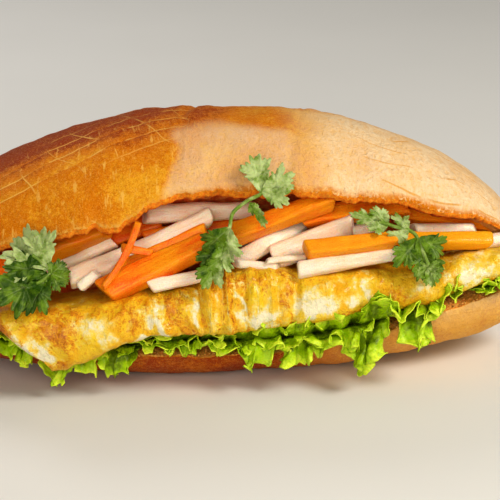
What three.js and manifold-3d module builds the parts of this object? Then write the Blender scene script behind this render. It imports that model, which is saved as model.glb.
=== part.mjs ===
// A banh mi sandwich: a crusty roll slit along one side and opened, holding a rolled omelette on
// frilly lettuce, with carrot and white radish sticks above it and three coriander sprigs on top.
//
// Millimetres, +Z up. +X runs along the roll, the open side faces -Y, and the origin is on the
// table under the middle of the roll.

import * as THREE from "three";
import { mergeVertices } from "three/addons/utils/BufferGeometryUtils.js";
import Module from "manifold-3d";

const wasm = await Module();
wasm.setup();

// Driving dimensions.

const ROLL_LENGTH = 220;
const ROLL_HALF_DEPTH = 36;
const ROLL_TOP = 85;
const ROLL_WAIST = 30; // height of the roll's widest place
const ROLL_SAG = 2; // the round underside would reach this far below the table, and rests flat
const ROLL_SQUARENESS = 2.3;
const ROLL_LEAN = 0.15; // backward lean of the opened upper half, per millimetre above the waist
const TIP_HEIGHT = 22;
const TIP_RING = 0.986; // last ring of the skin, as a share of the half length

const LOWER_LIP = 12.5; // height of the lower half's cut edge
const LOWER_LIP_RISE = 19; // how much higher the cut edge runs at the right end
const UPPER_LIP = 66.5; // height of the upper half's cut edge
const UPPER_LIP_DIP = 8.5; // how far the upper edge dips towards the left end
const UPPER_LIP_RISE = 4.5; // and how far it rises at the right end
const LIP_FLAP = 3.4; // how far a torn flap hangs below the upper edge, left of the middle
const FLAP_LEFT = [-42, -38]; // the flap hangs down across these places,
const FLAP_RIGHT = [-30, -22]; // and is back at the edge across these
const SLIT_BACK = -3; // the slit reaches back to this Y
const SLIT_CLOSING = 12; // how far each lip turns towards the other at the left tip
const CLOSING_SPAN = [74, 108]; // the lips draw together between these distances from the middle
const SHALLOW_SPAN = [84, 108]; // the slit gets shallow between these,
const SHALLOW_SHARE = 0.93; // by this share of its depth

const SCORE_SLANT = 9; // how far the scores run along the roll, per radian over its top
const LEFT_SCORE = [-12, -5]; // the crust steps down across the left score,
const RIGHT_SCORE = [24, 31]; // and up again across the right one
const BLOOM_SINK = 1.1; // the torn bloom between them lies this much lower

const OMELETTE_FRONT = 6.6; // reach of the omelette's round front edge ahead of its spine
const OMELETTE_BACK = 0.6; // thickness of its back edge, as a share of its front
const OMELETTE_SLANT = 8.5; // how far its left end is cut back, from its middle to its top

const GAP = 0.3; // air between pieces that lie against each other
const CUT_GAPS = 1.3; // a cut leaves this many gaps, because dropping points takes some of it back
const TRIM = 0.06; // a cut piece drops points that matter less than this

const BED_LEAN = THREE.MathUtils.degToRad(62); // the sticks are piled against a bank this steep
const BED_FRONT = 28; // the bank's foot lies this far in front of the roll's middle
const BED_HEIGHT = 38;

const LEAF_THICKNESS = 0.8;
const LEAF_STEP = 2.25; // spacing of a lettuce leaf's points along the roll
const LEAF_START = 0.25; // a lettuce leaf starts at this share of its way from tuck to edge
const FRILL_GROWTH = 9; // its frill is full this far past the lip
const SPRIG_FACING = 70; // a coriander leaf is tipped up this many degrees from lying flat
const STEM_RADIUS = 0.8;

// Small helpers.

const { clamp, lerp, smoothstep, degToRad } = THREE.MathUtils;

function seededRandom(seed) {
  let state = seed;
  return () => {
    state = (state * 1664525 + 1013904223) >>> 0;
    return state / 4294967296;
  };
}

// A smooth wandering value between about -1 and 1.
function wander(t, seed) {
  const slow = Math.sin(t + seed * 1.7);
  const middle = Math.sin(t * 2.37 + seed * 3.1);
  const fast = Math.sin(t * 5.11 + seed * 5.9);
  return slow * 0.5 + middle * 0.3 + fast * 0.2;
}

function signedPower(value, power) {
  return Math.sign(value) * Math.abs(value) ** power;
}

// The roll narrows to its tips as an ellipse does.
function rollTaper(x) {
  return Math.sqrt(Math.max(0, 1 - (x / (ROLL_LENGTH / 2)) ** 2));
}

// A closed skin through rings with equal numbers of points, shut by a fan at each end.
function skinRings(rings, firstTip, lastTip) {
  const count = rings[0].length;
  const positions = [...rings.flat(), firstTip, lastTip].flatMap((point) => point.toArray());
  const first = rings.length * count;
  const last = first + 1;
  const indices = [];
  for (let i = 0; i < count; i++) {
    const next = (i + 1) % count;
    for (let k = 0; k < rings.length - 1; k++) {
      const a = k * count + i;
      const b = k * count + next;
      indices.push(a, b, b + count, a, b + count, a + count);
    }
    const end = (rings.length - 1) * count;
    indices.push(first, next, i, last, end + i, end + next);
  }
  const geometry = new THREE.BufferGeometry();
  geometry.setAttribute("position", new THREE.Float32BufferAttribute(positions, 3));
  geometry.setIndex(indices);
  return geometry;
}

// A thin sheet with both faces split alike, from a grid of middle points.
function skinSheet(rows, thickness) {
  const height = rows.length;
  const width = rows[0].length;
  const normals = rows.map((row, j) =>
    row.map((point, i) => {
      const across = rows[j][Math.min(i + 1, width - 1)].clone().sub(rows[j][Math.max(i - 1, 0)]);
      const along = rows[Math.min(j + 1, height - 1)][i].clone().sub(rows[Math.max(j - 1, 0)][i]);
      return across.cross(along).normalize();
    }),
  );
  const offset = (side) =>
    rows.flatMap((row, j) =>
      row.flatMap((point, i) => point.clone().addScaledVector(normals[j][i], side * thickness).toArray()),
    );
  const size = width * height;
  const indices = [];
  const at = (j, i) => j * width + i;
  for (let j = 0; j < height - 1; j++) {
    for (let i = 0; i < width - 1; i++) {
      const [a, b, c, d] = [at(j, i), at(j, i + 1), at(j + 1, i + 1), at(j + 1, i)];
      indices.push(a, b, c, a, c, d);
      indices.push(a + size, c + size, b + size, a + size, d + size, c + size);
    }
  }
  const rim = [];
  for (let i = 0; i < width - 1; i++) rim.push(at(0, i));
  for (let j = 0; j < height - 1; j++) rim.push(at(j, width - 1));
  for (let i = width - 1; i > 0; i--) rim.push(at(height - 1, i));
  for (let j = height - 1; j > 0; j--) rim.push(at(j, 0));
  rim.forEach((a, k) => {
    const b = rim[(k + 1) % rim.length];
    indices.push(b, a, a + size, b, a + size, b + size);
  });
  const geometry = new THREE.BufferGeometry();
  const positions = [...offset(0.5), ...offset(-0.5)];
  geometry.setAttribute("position", new THREE.Float32BufferAttribute(positions, 3));
  geometry.setIndex(indices);
  return geometry;
}

// Booleans.

function toManifold(geometry) {
  const bare = geometry.clone();
  bare.deleteAttribute("normal");
  bare.deleteAttribute("uv");
  const merged = mergeVertices(bare, 1e-4);
  return new wasm.Manifold(
    new wasm.Mesh({
      numProp: 3,
      vertProperties: new Float32Array(merged.attributes.position.array),
      triVerts: new Uint32Array(merged.index.array),
    }),
  );
}

function fromManifold(solid) {
  const mesh = solid.getMesh();
  const geometry = new THREE.BufferGeometry();
  const positions = new Float32Array(mesh.vertProperties);
  geometry.setAttribute("position", new THREE.Float32BufferAttribute(positions, 3));
  geometry.setIndex([...mesh.triVerts]);
  return geometry;
}

// The same body with its skin moved outwards, for cutting what lies against it.
function grown(geometry, distance) {
  const bare = geometry.clone();
  bare.deleteAttribute("normal");
  bare.deleteAttribute("uv");
  const merged = mergeVertices(bare, 1e-4);
  merged.computeVertexNormals();
  const { position, normal } = merged.attributes;
  for (let i = 0; i < position.count; i++) {
    position.setXYZ(
      i,
      position.getX(i) + normal.getX(i) * distance,
      position.getY(i) + normal.getY(i) * distance,
      position.getZ(i) + normal.getZ(i) * distance,
    );
  }
  return toManifold(merged);
}

function largestPiece(solid) {
  const pieces = solid.decompose();
  return pieces.reduce((best, piece) => (piece.volume() > best.volume() ? piece : best));
}

const sandwich = new THREE.Group();
sandwich.name = "banh_mi_sandwich";

const placed = []; // what is in the sandwich so far, each grown by the gap

function boxesMeet(one, other) {
  const a = one.boundingBox();
  const b = other.boundingBox();
  return [0, 1, 2].every((k) => a.min[k] < b.max[k] && b.min[k] < a.max[k]);
}

// Adds a piece, cut clear of the pieces that are already there.
function addPiece(name, geometry, material, cutter) {
  let solid = toManifold(geometry);
  const neighbours = placed.filter((other) => boxesMeet(solid, other));
  if (neighbours.length > 0) {
    for (const other of neighbours) solid = solid.subtract(other);
    solid = largestPiece(largestPiece(solid).simplify(TRIM));
  }
  const body = fromManifold(solid);
  const mesh = new THREE.Mesh(body, material);
  mesh.name = name;
  body.computeVertexNormals();
  sandwich.add(mesh);
  placed.push(cutter ?? grown(body, GAP * CUT_GAPS));
}

// Materials.

function finish(color, roughness) {
  return new THREE.MeshStandardMaterial({ color, roughness, metalness: 0 });
}

const finishes = {
  crust: finish("#d08a45", 0.55),
  egg: finish("#e8b64a", 0.5),
  lettuce: finish("#86c04a", 0.5),
  carrot: finish("#f0741e", 0.45),
  radish: finish("#f1dfd3", 0.4),
  coriander: finish("#4f8a3a", 0.55),
};

// Bread.

function lowerLip(x) {
  const rise = clamp((x - 15) / 80, 0, 1.1) ** 1.6 * LOWER_LIP_RISE;
  const closing = smoothstep(-x, ...CLOSING_SPAN) * SLIT_CLOSING;
  return LOWER_LIP + rise + closing;
}

function upperLip(x) {
  const dip = (1 - smoothstep(x, -55, -10)) * UPPER_LIP_DIP;
  const rise = (smoothstep(x, 70, 98) - smoothstep(x, 98, 112)) * UPPER_LIP_RISE;
  const closing = smoothstep(-x, ...CLOSING_SPAN) * SLIT_CLOSING;
  return UPPER_LIP - dip + rise - closing;
}

function baseHeight(x) {
  return (1 - rollTaper(x)) * TIP_HEIGHT;
}

// A point of the roll, from its place in the middle cross-section, carried to the station x.
function rollPoint(x, y, z) {
  const taper = rollTaper(x);
  return new THREE.Vector3(x, y * taper, Math.max(0, baseHeight(x) + z * taper));
}

// The crust's outline at an angle counted from the front over the base, back and top.
function crustOutline(angle, puff) {
  const power = 2 / ROLL_SQUARENESS;
  const up = signedPower(Math.sin(angle), power);
  const out = signedPower(Math.cos(angle), power);
  const reach = up > 0 ? ROLL_TOP - ROLL_WAIST : ROLL_WAIST + ROLL_SAG;
  const z = ROLL_WAIST + up * (reach + puff);
  const y = out * (ROLL_HALF_DEPTH + puff) + Math.max(0, z - ROLL_WAIST) * ROLL_LEAN;
  return [y, z];
}

// Lumps of the crust, and the torn bloom between two scores on the top.
function crustPuff(x, angle) {
  const top = Math.max(0, Math.sin(angle));
  const lumps = wander(x * 0.11 + angle * 2, 1) * 0.5 + wander(x * 0.3 - angle * 5, 2) * 0.25;
  const lean = (angle - Math.PI * 2.5) * SCORE_SLANT;
  const bloomStart = smoothstep(x + lean, ...LEFT_SCORE);
  const bloomEnd = smoothstep(x + lean, ...RIGHT_SCORE);
  return lumps - (bloomStart - bloomEnd) * top * BLOOM_SINK;
}

function lipAngle(height, above) {
  const reach = above ? ROLL_TOP - ROLL_WAIST : ROLL_WAIST + ROLL_SAG;
  const share = clamp(Math.abs(height - ROLL_WAIST) / reach, 0, 1);
  return Math.asin(share ** (ROLL_SQUARENESS / 2));
}

function breadRing(x, random) {
  const outerCount = 34;
  const low = lowerLip(x) + wander(x * 0.45, 7) * 0.9 + (random() - 0.5) * 0.8;
  const flap = smoothstep(x, ...FLAP_LEFT) * (1 - smoothstep(x, ...FLAP_RIGHT)) * LIP_FLAP;
  const high = upperLip(x) + wander(x * 0.5, 9) * 1.0 + (random() - 0.5) * 1.0 - flap;
  const start = low < ROLL_WAIST ? Math.PI + lipAngle(low, false) : Math.PI - lipAngle(low, true);
  const end = Math.PI * 3 - lipAngle(high, true);
  const ring = [];
  for (let i = 0; i <= outerCount; i++) {
    const angle = lerp(start, end, i / outerCount);
    ring.push(crustOutline(angle, crustPuff(x, angle)));
  }
  const [lowY, lowZ] = ring[0];
  const [highY, highZ] = ring[outerCount];
  const depth = 1 - smoothstep(Math.abs(x), ...SHALLOW_SPAN) * SHALLOW_SHARE;
  const ceiling = [
    [highY + 0.8, highZ - 2.4],
    [highY + 4.2, highZ - 3.2],
    [highY + 10, highZ - 4.5],
    [SLIT_BACK - 5, highZ - 9],
    [SLIT_BACK, highZ - 17],
  ];
  const floor = [
    [SLIT_BACK, lerp(lowZ, highZ, 0.42)],
    [SLIT_BACK - 3, lowZ + 10],
    [lowY + 17, lowZ + 5],
    [lowY + 8, lowZ + 2],
    [lowY + 2.6, lowZ + 0.8],
  ];
  const inward = (point, lipY) => [lipY + (point[0] - lipY) * depth, point[1]];
  ceiling.forEach((point) => ring.push(inward(point, highY)));
  floor.forEach((point) => ring.push(inward(point, lowY)));
  return ring.map(([y, z]) => rollPoint(x, y, z));
}

function makeBread() {
  const stations = 41;
  const random = seededRandom(11);
  const rings = [];
  for (let i = 0; i <= stations; i++) {
    const t = (i / stations) * 2 - 1;
    const x = TIP_RING * (ROLL_LENGTH / 2) * (0.6 * t + 0.4 * Math.sin((t * Math.PI) / 2));
    rings.push(breadRing(x, random));
  }
  const tip = (side) => new THREE.Vector3((side * ROLL_LENGTH) / 2, 0, TIP_HEIGHT + 4);
  return skinRings(rings, tip(-1), tip(1));
}

// Omelette: one long folded slab with a thick round front edge, cut slantwise at the left end.

const OMELETTE_SPINE = new THREE.CatmullRomCurve3(
  [
    [-66, -33, 20],
    [-36, -33, 25],
    [0, -31.5, 28],
    [28, -30, 31],
    [57, -26, 32],
    [80, -20, 34.5],
    [102, -12, 37],
  ].map(([x, y, z]) => new THREE.Vector3(x, y, z)),
);

function omeletteHeight(x) {
  const thick = lerp(9.5, 7.5, smoothstep(x, -60, -35));
  const middle = Math.exp(-(((x + 2) / 26) ** 2)) * 2.4;
  const thin = smoothstep(x, 20, 95) * 3;
  return thick + middle - thin;
}

// How far the underside is drawn up, in the middle of the roll.
function omeletteRise(x) {
  return 4.6 * Math.exp(-(((x + 14) / 22) ** 2)) + 1.5 * Math.exp(-(((x - 30) / 20) ** 2));
}

// How far its top is pushed up, in the middle of the roll.
function omeletteCrown(x) {
  return 3.4 * Math.exp(-(((x - 8) / 15) ** 2));
}

function omeletteRing(t) {
  const count = 20;
  const centre = OMELETTE_SPINE.getPoint(t);
  const x = centre.x;
  const closing = Math.sqrt(clamp(Math.min(t / 0.02 + 0.55, (1 - t) / 0.05 + 0.3), 0, 1));
  const slant = (1 - smoothstep(x, -66, -30)) * OMELETTE_SLANT;
  const pleats = Math.exp(-(((x + 3) / 17) ** 2)) * 0.9;
  const ring = [];
  for (let i = 0; i < count; i++) {
    const angle = (i / count) * Math.PI * 2;
    const up = signedPower(Math.sin(angle), 0.8);
    const out = signedPower(Math.cos(angle), 0.8);
    const bulge = wander(x * 0.17 + angle, 3) * 0.8 + Math.sin(x * 0.95 + up) * pleats;
    const inside = Math.max(0, out);
    const height = (omeletteHeight(x) + bulge) * closing * lerp(1, OMELETTE_BACK, inside);
    const back = (SLIT_BACK * rollTaper(x) - 1 - centre.y) * (0.4 + 0.6 * closing);
    const depth = out > 0 ? back : (OMELETTE_FRONT + bulge) * closing;
    const lift = omeletteRise(x) * Math.max(0, -up) + omeletteCrown(x) * Math.max(0, up);
    const z = centre.z + up * height + lift * closing;
    ring.push(new THREE.Vector3(x - slant * up, centre.y + out * depth + up * 1.5, z));
  }
  return ring;
}

function makeOmelette() {
  const stations = 38;
  const rings = [];
  for (let i = 0; i <= stations; i++) rings.push(omeletteRing(i / stations));
  const firstTip = OMELETTE_SPINE.getPoint(0).add(new THREE.Vector3(-0.8, 0, 0));
  const lastTip = OMELETTE_SPINE.getPoint(1).add(new THREE.Vector3(1.2, 0, 0));
  return skinRings(rings, firstTip, lastTip);
}

// Sticks: each lies on the bank at a place along it, up it and out from it.

function bankFrame(along) {
  const slope = (BED_FRONT * along) / (ROLL_LENGTH / 2) ** 2 / Math.max(rollTaper(along), 0.3);
  const right = new THREE.Vector3(1, slope, 0).normalize();
  const out = new THREE.Vector3(slope, -1, 0).normalize();
  const upward = new THREE.Vector3(0, 0, 1).multiplyScalar(Math.sin(BED_LEAN));
  upward.addScaledVector(out, -Math.cos(BED_LEAN));
  const origin = new THREE.Vector3(along, -BED_FRONT * rollTaper(along), BED_HEIGHT);
  return { right, upward, normal: right.clone().cross(upward), origin };
}

function makeStick(stick, extra) {
  const { along, up, layer, length, width, thick, turn, roll = 0, tip = 0, taper = 0.9, bow = 0 } = stick;
  const geometry = new THREE.BoxGeometry(length + extra, width + extra, thick + extra, 4, 1, 1);
  const { position } = geometry.attributes;
  for (let i = 0; i < position.count; i++) {
    const share = position.getX(i) / length + 0.5;
    const narrow = lerp(1, taper, clamp(share, 0, 1));
    const bend = (1 - (share * 2 - 1) ** 2) * bow;
    position.setY(i, position.getY(i) * narrow + bend);
    position.setZ(i, position.getZ(i) * narrow);
  }
  const { right, upward, normal, origin } = bankFrame(along);
  const frame = new THREE.Matrix4().makeBasis(right, upward, normal);
  const centre = origin.clone().addScaledVector(upward, up).addScaledVector(normal, layer);
  geometry.rotateX(degToRad(roll));
  geometry.rotateY(degToRad(tip));
  geometry.rotateZ(degToRad(turn));
  geometry.applyMatrix4(frame);
  geometry.translate(centre.x, centre.y, centre.z);
  return geometry;
}

// Front sticks come first, because a later stick gives way to the ones before it.
const STICKS = [
  { kind: "carrot", along: 40.4, up: 8.1, layer: 6, length: 29, width: 5.6, thick: 6, turn: 3, roll: -22 },
  { kind: "carrot", along: -33, up: 7, layer: 9, length: 24, width: 2.4, thick: 2.2, turn: -118, bow: 1.2 },
  {
    kind: "carrot", along: -22.5, up: 3.4, layer: 3.5, length: 36, width: 8.5, thick: 7.5,
    turn: 24.5, roll: -20,
  },
  {
    kind: "radish", along: 40, up: 3, layer: 4.5, length: 34, width: 5.8, thick: 6.5,
    turn: 6, taper: 0.75,
  },
  { kind: "radish", along: -15.5, up: -1, layer: 4.5, length: 18, width: 4.6, thick: 4, turn: 11 },
  { kind: "radish", along: 20, up: 5, layer: 4, length: 13, width: 2.2, thick: 3, turn: 3 },
  {
    kind: "carrot", along: -28, up: 9, layer: 5, length: 10, width: 3.4, thick: 1.8,
    turn: -10, taper: 0.6,
  },
  { kind: "carrot", along: 20, up: 19.2, layer: 0, length: 34, width: 6.8, thick: 7, turn: 17, roll: -28 },
  { kind: "carrot", along: 72, up: 7.8, layer: 0, length: 37, width: 5.2, thick: 6, turn: -5.5, roll: -24 },
  { kind: "radish", along: 30, up: 10.8, layer: -1.5, length: 29, width: 8.8, thick: 6, turn: 18, roll: 8 },
  { kind: "radish", along: 10.5, up: 3.5, layer: 2.5, length: 14, width: 3, thick: 4, turn: -8 },
  { kind: "radish", along: 16, up: 12, layer: -3, length: 26, width: 6.6, thick: 6, turn: 30, roll: -10 },
  { kind: "carrot", along: -20, up: 10, layer: 0.5, length: 31, width: 4.2, thick: 4, turn: 24 },
  {
    kind: "radish", along: -27.4, up: 11, layer: -3, length: 50, width: 6.8, thick: 6.4,
    turn: 24, roll: -14, bow: -1,
  },
  {
    kind: "radish", along: -43.5, up: -0.4, layer: 3, length: 7, width: 3.8, thick: 4,
    turn: 40, taper: 0.8,
  },
  { kind: "carrot", along: 46, up: 20.4, layer: -3, length: 34, width: 7, thick: 6, turn: 1.5, roll: -15 },
  { kind: "radish", along: 11, up: 14.5, layer: -8, length: 15, width: 4, thick: 5, turn: 18 },
  { kind: "radish", along: 44, up: 14.2, layer: -8, length: 22, width: 5.6, thick: 5, turn: 12 },
  { kind: "radish", along: 77, up: 11.9, layer: -5, length: 22, width: 4.4, thick: 5, turn: -7 },
  {
    kind: "carrot", along: 79, up: 16, layer: -6, length: 37, width: 7.4, thick: 6,
    turn: -17, roll: -12, taper: 0.5,
  },
  {
    kind: "carrot", along: -50, up: 13.4, layer: -5.5, length: 24, width: 7.2, thick: 7,
    turn: 23, roll: -25,
  },
  { kind: "radish", along: -46.5, up: 9.8, layer: -9.5, length: 21, width: 5.2, thick: 4.4, turn: 23 },
  {
    kind: "radish", along: -6.5, up: 23, layer: -6.5, length: 37, width: 6.6, thick: 5.4,
    turn: 1, roll: 12,
  },
  { kind: "carrot", along: -31, up: 18, layer: -11, length: 21, width: 7.4, thick: 4, turn: 18 },
  { kind: "carrot", along: -8.5, up: 17.5, layer: -11, length: 32, width: 7.4, thick: 4.6, turn: 11 },
  { kind: "carrot", along: -72, up: 5, layer: -7, length: 22, width: 5.6, thick: 5.4, turn: 24, roll: -15 },
  { kind: "radish", along: -68, up: 0, layer: -10, length: 26, width: 5.5, thick: 5.5, turn: 15 },
  { kind: "carrot", along: -87, up: 4, layer: -8, length: 17, width: 5, thick: 5, turn: 14, roll: -20 },
  { kind: "radish", along: -88, up: -3, layer: -7, length: 19, width: 5, thick: 5, turn: 10, roll: 10 },
  { kind: "radish", along: 95, up: 5.6, layer: -2, length: 12, width: 4.6, thick: 4.6, turn: -2 },
];

function addSticks() {
  const counts = { carrot: 0, radish: 0 };
  STICKS.forEach((stick) => {
    counts[stick.kind] += 1;
    const name = `${stick.kind}_stick_${String(counts[stick.kind]).padStart(2, "0")}`;
    const cutter = toManifold(makeStick(stick, GAP * 2));
    addPiece(name, makeStick(stick, 0), finishes[stick.kind], cutter);
  });
}

// Lettuce: ruffled leaves, tucked in on the lower lip, whose lobes hang over it or climb up.

const TUCK = 9; // how far a leaf reaches back from the lip
const LEAF_CLEARANCE = 3; // height of a leaf's middle above the lip
const LIP_BEND = 3.2; // radius of a leaf's bend over the lip

// A lobe is [place along the roll, length, half width, angle below the horizontal in degrees].
const LETTUCE_LEAVES = [
  {
    x0: -86,
    x1: -26,
    swell: 0.8,
    seed: 1,
    raise: -1.5,
    lobes: [
      [-81, 2.5, 5, 40],
      [-71, 3, 4, 45],
      [-64.5, 5, 3, 60],
      [-54.5, 10.5, 4.5, 74],
      [-45.5, 8, 3.5, 78],
      [-36, 8.5, 4.5, 84],
      [-29, 3, 3, 60],
    ],
  },
  {
    x0: -34,
    x1: 60,
    swell: 1.5,
    seed: 2,
    raise: 2,
    lobes: [
      [-24, 1.5, 4, 20],
      [-13, 3, 4, 50],
      [-2, 2.5, 4, 45],
      [9.5, 9, 5.5, 74],
      [24, 9.5, 6, 68],
      [35, 6, 4.5, 60],
      [45.5, 15, 6.5, 68],
    ],
  },
  {
    x0: 42,
    x1: 84,
    swell: 1.4,
    seed: 4,
    raise: 5,
    lobes: [[49, 11, 5, -66], [57, 2, 3, 40], [63.5, 15.5, 5.5, 68], [77, 4, 4, 10]],
  },
  { x0: 80, x1: 104, swell: 1, seed: 5, raise: 1.5, lobes: [[86, 4, 3.5, 25], [95, 4.5, 4, 10]] },
];

// The lobes' pull at a place: how far the leaf reaches past the lip there, and how steeply down.
function lobePull(lobes, x) {
  let length = 2.5;
  let angle = 0;
  let total = 0.15;
  for (const [place, reach, halfWidth, fall] of lobes) {
    const weight = Math.exp(-(((x - place) / halfWidth) ** 4));
    length += reach * weight;
    angle += fall * weight;
    total += weight;
  }
  return { length, angle: degToRad(angle / total) };
}

function lipPoint(x) {
  const [y] = crustOutline(Math.PI + lipAngle(lowerLip(x), false), 0);
  return rollPoint(x, y, lowerLip(x));
}

// A leaf's point: flat on the lip, then round a bend, then straight, with a frill across it.
function lettucePoint({ lobes, swell, seed, raise = 0 }, x, outward) {
  const lip = lipPoint(x);
  const { length, angle } = lobePull(lobes, x);
  const travelled = outward * (TUCK + length);
  const past = Math.max(0, travelled - TUCK);
  const turned = Math.min(past / LIP_BEND, Math.abs(angle)) * Math.sign(angle);
  const straight = Math.max(0, past - LIP_BEND * Math.abs(angle));
  const bendOut = angle === 0 ? 0 : LIP_BEND * Math.abs(Math.sin(turned));
  const bendDown = LIP_BEND * (1 - Math.cos(turned)) * Math.sign(angle);
  const reachOut = Math.min(travelled, TUCK) - TUCK + bendOut + straight * Math.cos(turned);
  const fallDown = bendDown + straight * Math.sin(turned);
  const share = clamp(past / FRILL_GROWTH, 0, 1);
  const wave = Math.sin(x * 0.85 + wander(x * 0.12, seed) * 2.2 + seed);
  const crimp = Math.sin(x * 1.9 + outward * 4 + seed * 2);
  const frill = wave * swell * (0.25 + share) + crimp * 0.5 * share * swell;
  const sway = Math.sin(x * 0.5 + outward * 5 + seed) * 1.1 * share;
  return new THREE.Vector3(
    x + sway,
    lip.y - reachOut - frill * Math.sin(Math.abs(turned)),
    lip.z + LEAF_CLEARANCE + raise * outward - fallDown + frill * Math.cos(turned) * 0.8,
  );
}

function makeLettuceLeaf(leaf) {
  const columns = Math.round((leaf.x1 - leaf.x0) / LEAF_STEP);
  const rowCount = 5;
  const rows = [];
  for (let j = 0; j <= rowCount; j++) {
    const row = [];
    for (let i = 0; i <= columns; i++) {
      const end = smoothstep(Math.min(i, columns - i), -1, 3);
      const outward = lerp(LEAF_START, 1, (j / rowCount) * end);
      row.push(lettucePoint(leaf, lerp(leaf.x0, leaf.x1, i / columns), outward));
    }
    rows.push(row);
  }
  return skinSheet(rows, LEAF_THICKNESS);
}

// Coriander: lobed leaves on thin stems, laid over the fillings and against the upper lip.

// A leaf's heart lies this share of its size from its foot, and its lobes spread from there, each
// as [direction from the tip in degrees, reach, half width in degrees].
const LEAF_SHAPES = {
  fan: {
    heart: 0.33,
    lobes: [
      [0, 0.32, 28],
      [65, 0.3, 26],
      [-65, 0.3, 26],
      [125, 0.14, 22],
      [-125, 0.14, 22],
      [180, 0.15, 24],
    ],
  },
  feather: {
    heart: 0.42,
    lobes: [[0, 0.24, 24], [60, 0.2, 24], [-60, 0.2, 24], [130, 0.2, 22], [-130, 0.2, 22], [180, 0.24, 18]],
  },
  hand: {
    heart: 0.33,
    lobes: [[0, 0.28, 26], [70, 0.24, 26], [-70, 0.24, 26], [180, 0.15, 30]],
  },
  lone: {
    heart: 0.42,
    lobes: [
      [0, 0.24, 40],
      [60, 0.12, 40],
      [-60, 0.12, 40],
      [120, 0.1, 34],
      [-120, 0.1, 34],
      [180, 0.22, 26],
    ],
  },
};

// The edge of a leaf of unit length, seen from its heart.
function corianderEdge(lobes, degrees) {
  let reach = 0;
  for (const [direction, length, halfWidth] of lobes) {
    const away = ((degrees - direction + 540) % 360) - 180;
    const tooth = 0.82 + 0.18 * Math.cos((away / halfWidth) * Math.PI * 1.35);
    reach = Math.max(reach, length * Math.exp(-((away / halfWidth) ** 4)) * tooth);
  }
  return 0.18 + reach;
}

// A leaf in its own plane: its foot is the origin, +Y points to its tip, +Z is its upper face.
function makeCorianderLeaf({ size, shape, seed }) {
  const { heart, lobes } = LEAF_SHAPES[shape];
  const around = 24;
  const rings = [];
  for (const [side, share] of [[1, 0.5], [1, 1], [-1, 1], [-1, 0.5]]) {
    const ring = [];
    for (let i = 0; i < around; i++) {
      const degrees = (i / around) * 360;
      const angle = degToRad(degrees);
      const uneven = 1 + wander(angle * 2, seed) * 0.08;
      const radius = size * corianderEdge(lobes, degrees) * share * uneven;
      const cup = Math.sin(angle * 2 + seed) * 0.07 * size * share ** 2;
      const ripple = Math.sin(angle * 5 + seed * 2) * 0.035 * size * share;
      const height = cup + ripple + (side * LEAF_THICKNESS) / 2;
      const ahead = Math.cos(angle) * radius + heart * size;
      ring.push(new THREE.Vector3(Math.sin(angle) * radius, ahead, height));
    }
    rings.push(ring);
  }
  const middle = (side) => new THREE.Vector3(0, heart * size, (side * LEAF_THICKNESS) / 2);
  return skinRings(rings, middle(1), middle(-1));
}

function makeStem(points) {
  const route = new THREE.CatmullRomCurve3(points.map((point) => new THREE.Vector3(...point)));
  const section = new THREE.Shape();
  section.absarc(0, 0, STEM_RADIUS, 0, Math.PI * 2);
  const options = { extrudePath: route, steps: 6, curveSegments: 6, bevelEnabled: false };
  return new THREE.ExtrudeGeometry(section, options);
}

// A leaf faces forward and a little up. Turn swings its tip clockwise from straight up, nod tips
// its face further up, and swing turns it to the right.
const SPRIGS = [
  {
    name: "coriander_left",
    stem: [
      [-61.5, -32, 49.5],
      [-58.5, -33, 47],
      [-56, -34.3, 44.6],
      [-57.5, -36, 42.8],
      [-60.5, -36.8, 41.5],
    ],
    leaves: [
      { shape: "fan", at: [-56.5, -33.3, 45.4], size: 19.5, turn: -50, nod: 10, swing: -12, seed: 1 },
      { shape: "fan", at: [-56.5, -35.3, 44], size: 21.5, turn: -112, nod: 14, swing: 0, seed: 2 },
      { shape: "fan", at: [-55.6, -35, 44], size: 9.5, turn: 112, nod: 5, swing: 20, seed: 3 },
    ],
  },
  {
    name: "coriander_middle",
    stem: [
      [13.3, -26.3, 69.2],
      [12.2, -27.7, 66.8],
      [7.4, -29, 64.6],
      [2.6, -31.2, 61.4],
      [1.4, -34, 58],
      [0, -35.4, 54.6],
    ],
    leaves: [
      { shape: "fan", at: [12.3, -27.6, 67], size: 16.5, turn: 22, nod: 12, swing: -5, seed: 4 },
      {
        shape: "lone", at: [1.4, -34.6, 58], size: 24.5, slim: 0.95,
        turn: 200, nod: 0, swing: -14, seed: 5,
      },
      { shape: "lone", at: [8, -29, 64], size: 10.5, slim: 0.6, turn: 150, nod: 10, swing: 15, seed: 6 },
    ],
  },
  {
    name: "coriander_right",
    stem: [
      [50.3, -25.6, 55.2],
      [56, -26.7, 53.5],
      [61.6, -27.9, 51.7],
      [63.9, -30.5, 47.2],
      [66, -33, 42.2],
    ],
    leaves: [
      {
        shape: "feather", at: [61.6, -27.6, 51.8], size: 26, slim: 0.62,
        turn: -70, nod: 12, swing: 0, seed: 7,
      },
      { shape: "hand", at: [62.9, -29.4, 50.2], size: 20, turn: 165, nod: 5, swing: 12, seed: 8 },
      { shape: "fan", at: [66, -33, 42], size: 9, turn: 172, nod: 10, swing: -10, seed: 9 },
    ],
  },
];

function makeSprig({ stem, leaves }) {
  let solid = toManifold(makeStem(stem));
  for (const spot of leaves) {
    const leaf = makeCorianderLeaf(spot);
    leaf.scale(spot.slim ?? 1, 1, 1);
    leaf.rotateZ(degToRad(-spot.turn));
    leaf.rotateX(degToRad(SPRIG_FACING - spot.nod));
    leaf.rotateZ(degToRad(spot.swing));
    leaf.translate(...spot.at);
    solid = solid.add(toManifold(leaf));
  }
  return fromManifold(largestPiece(solid));
}

// Assembly, from what carries to what is carried.

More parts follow.
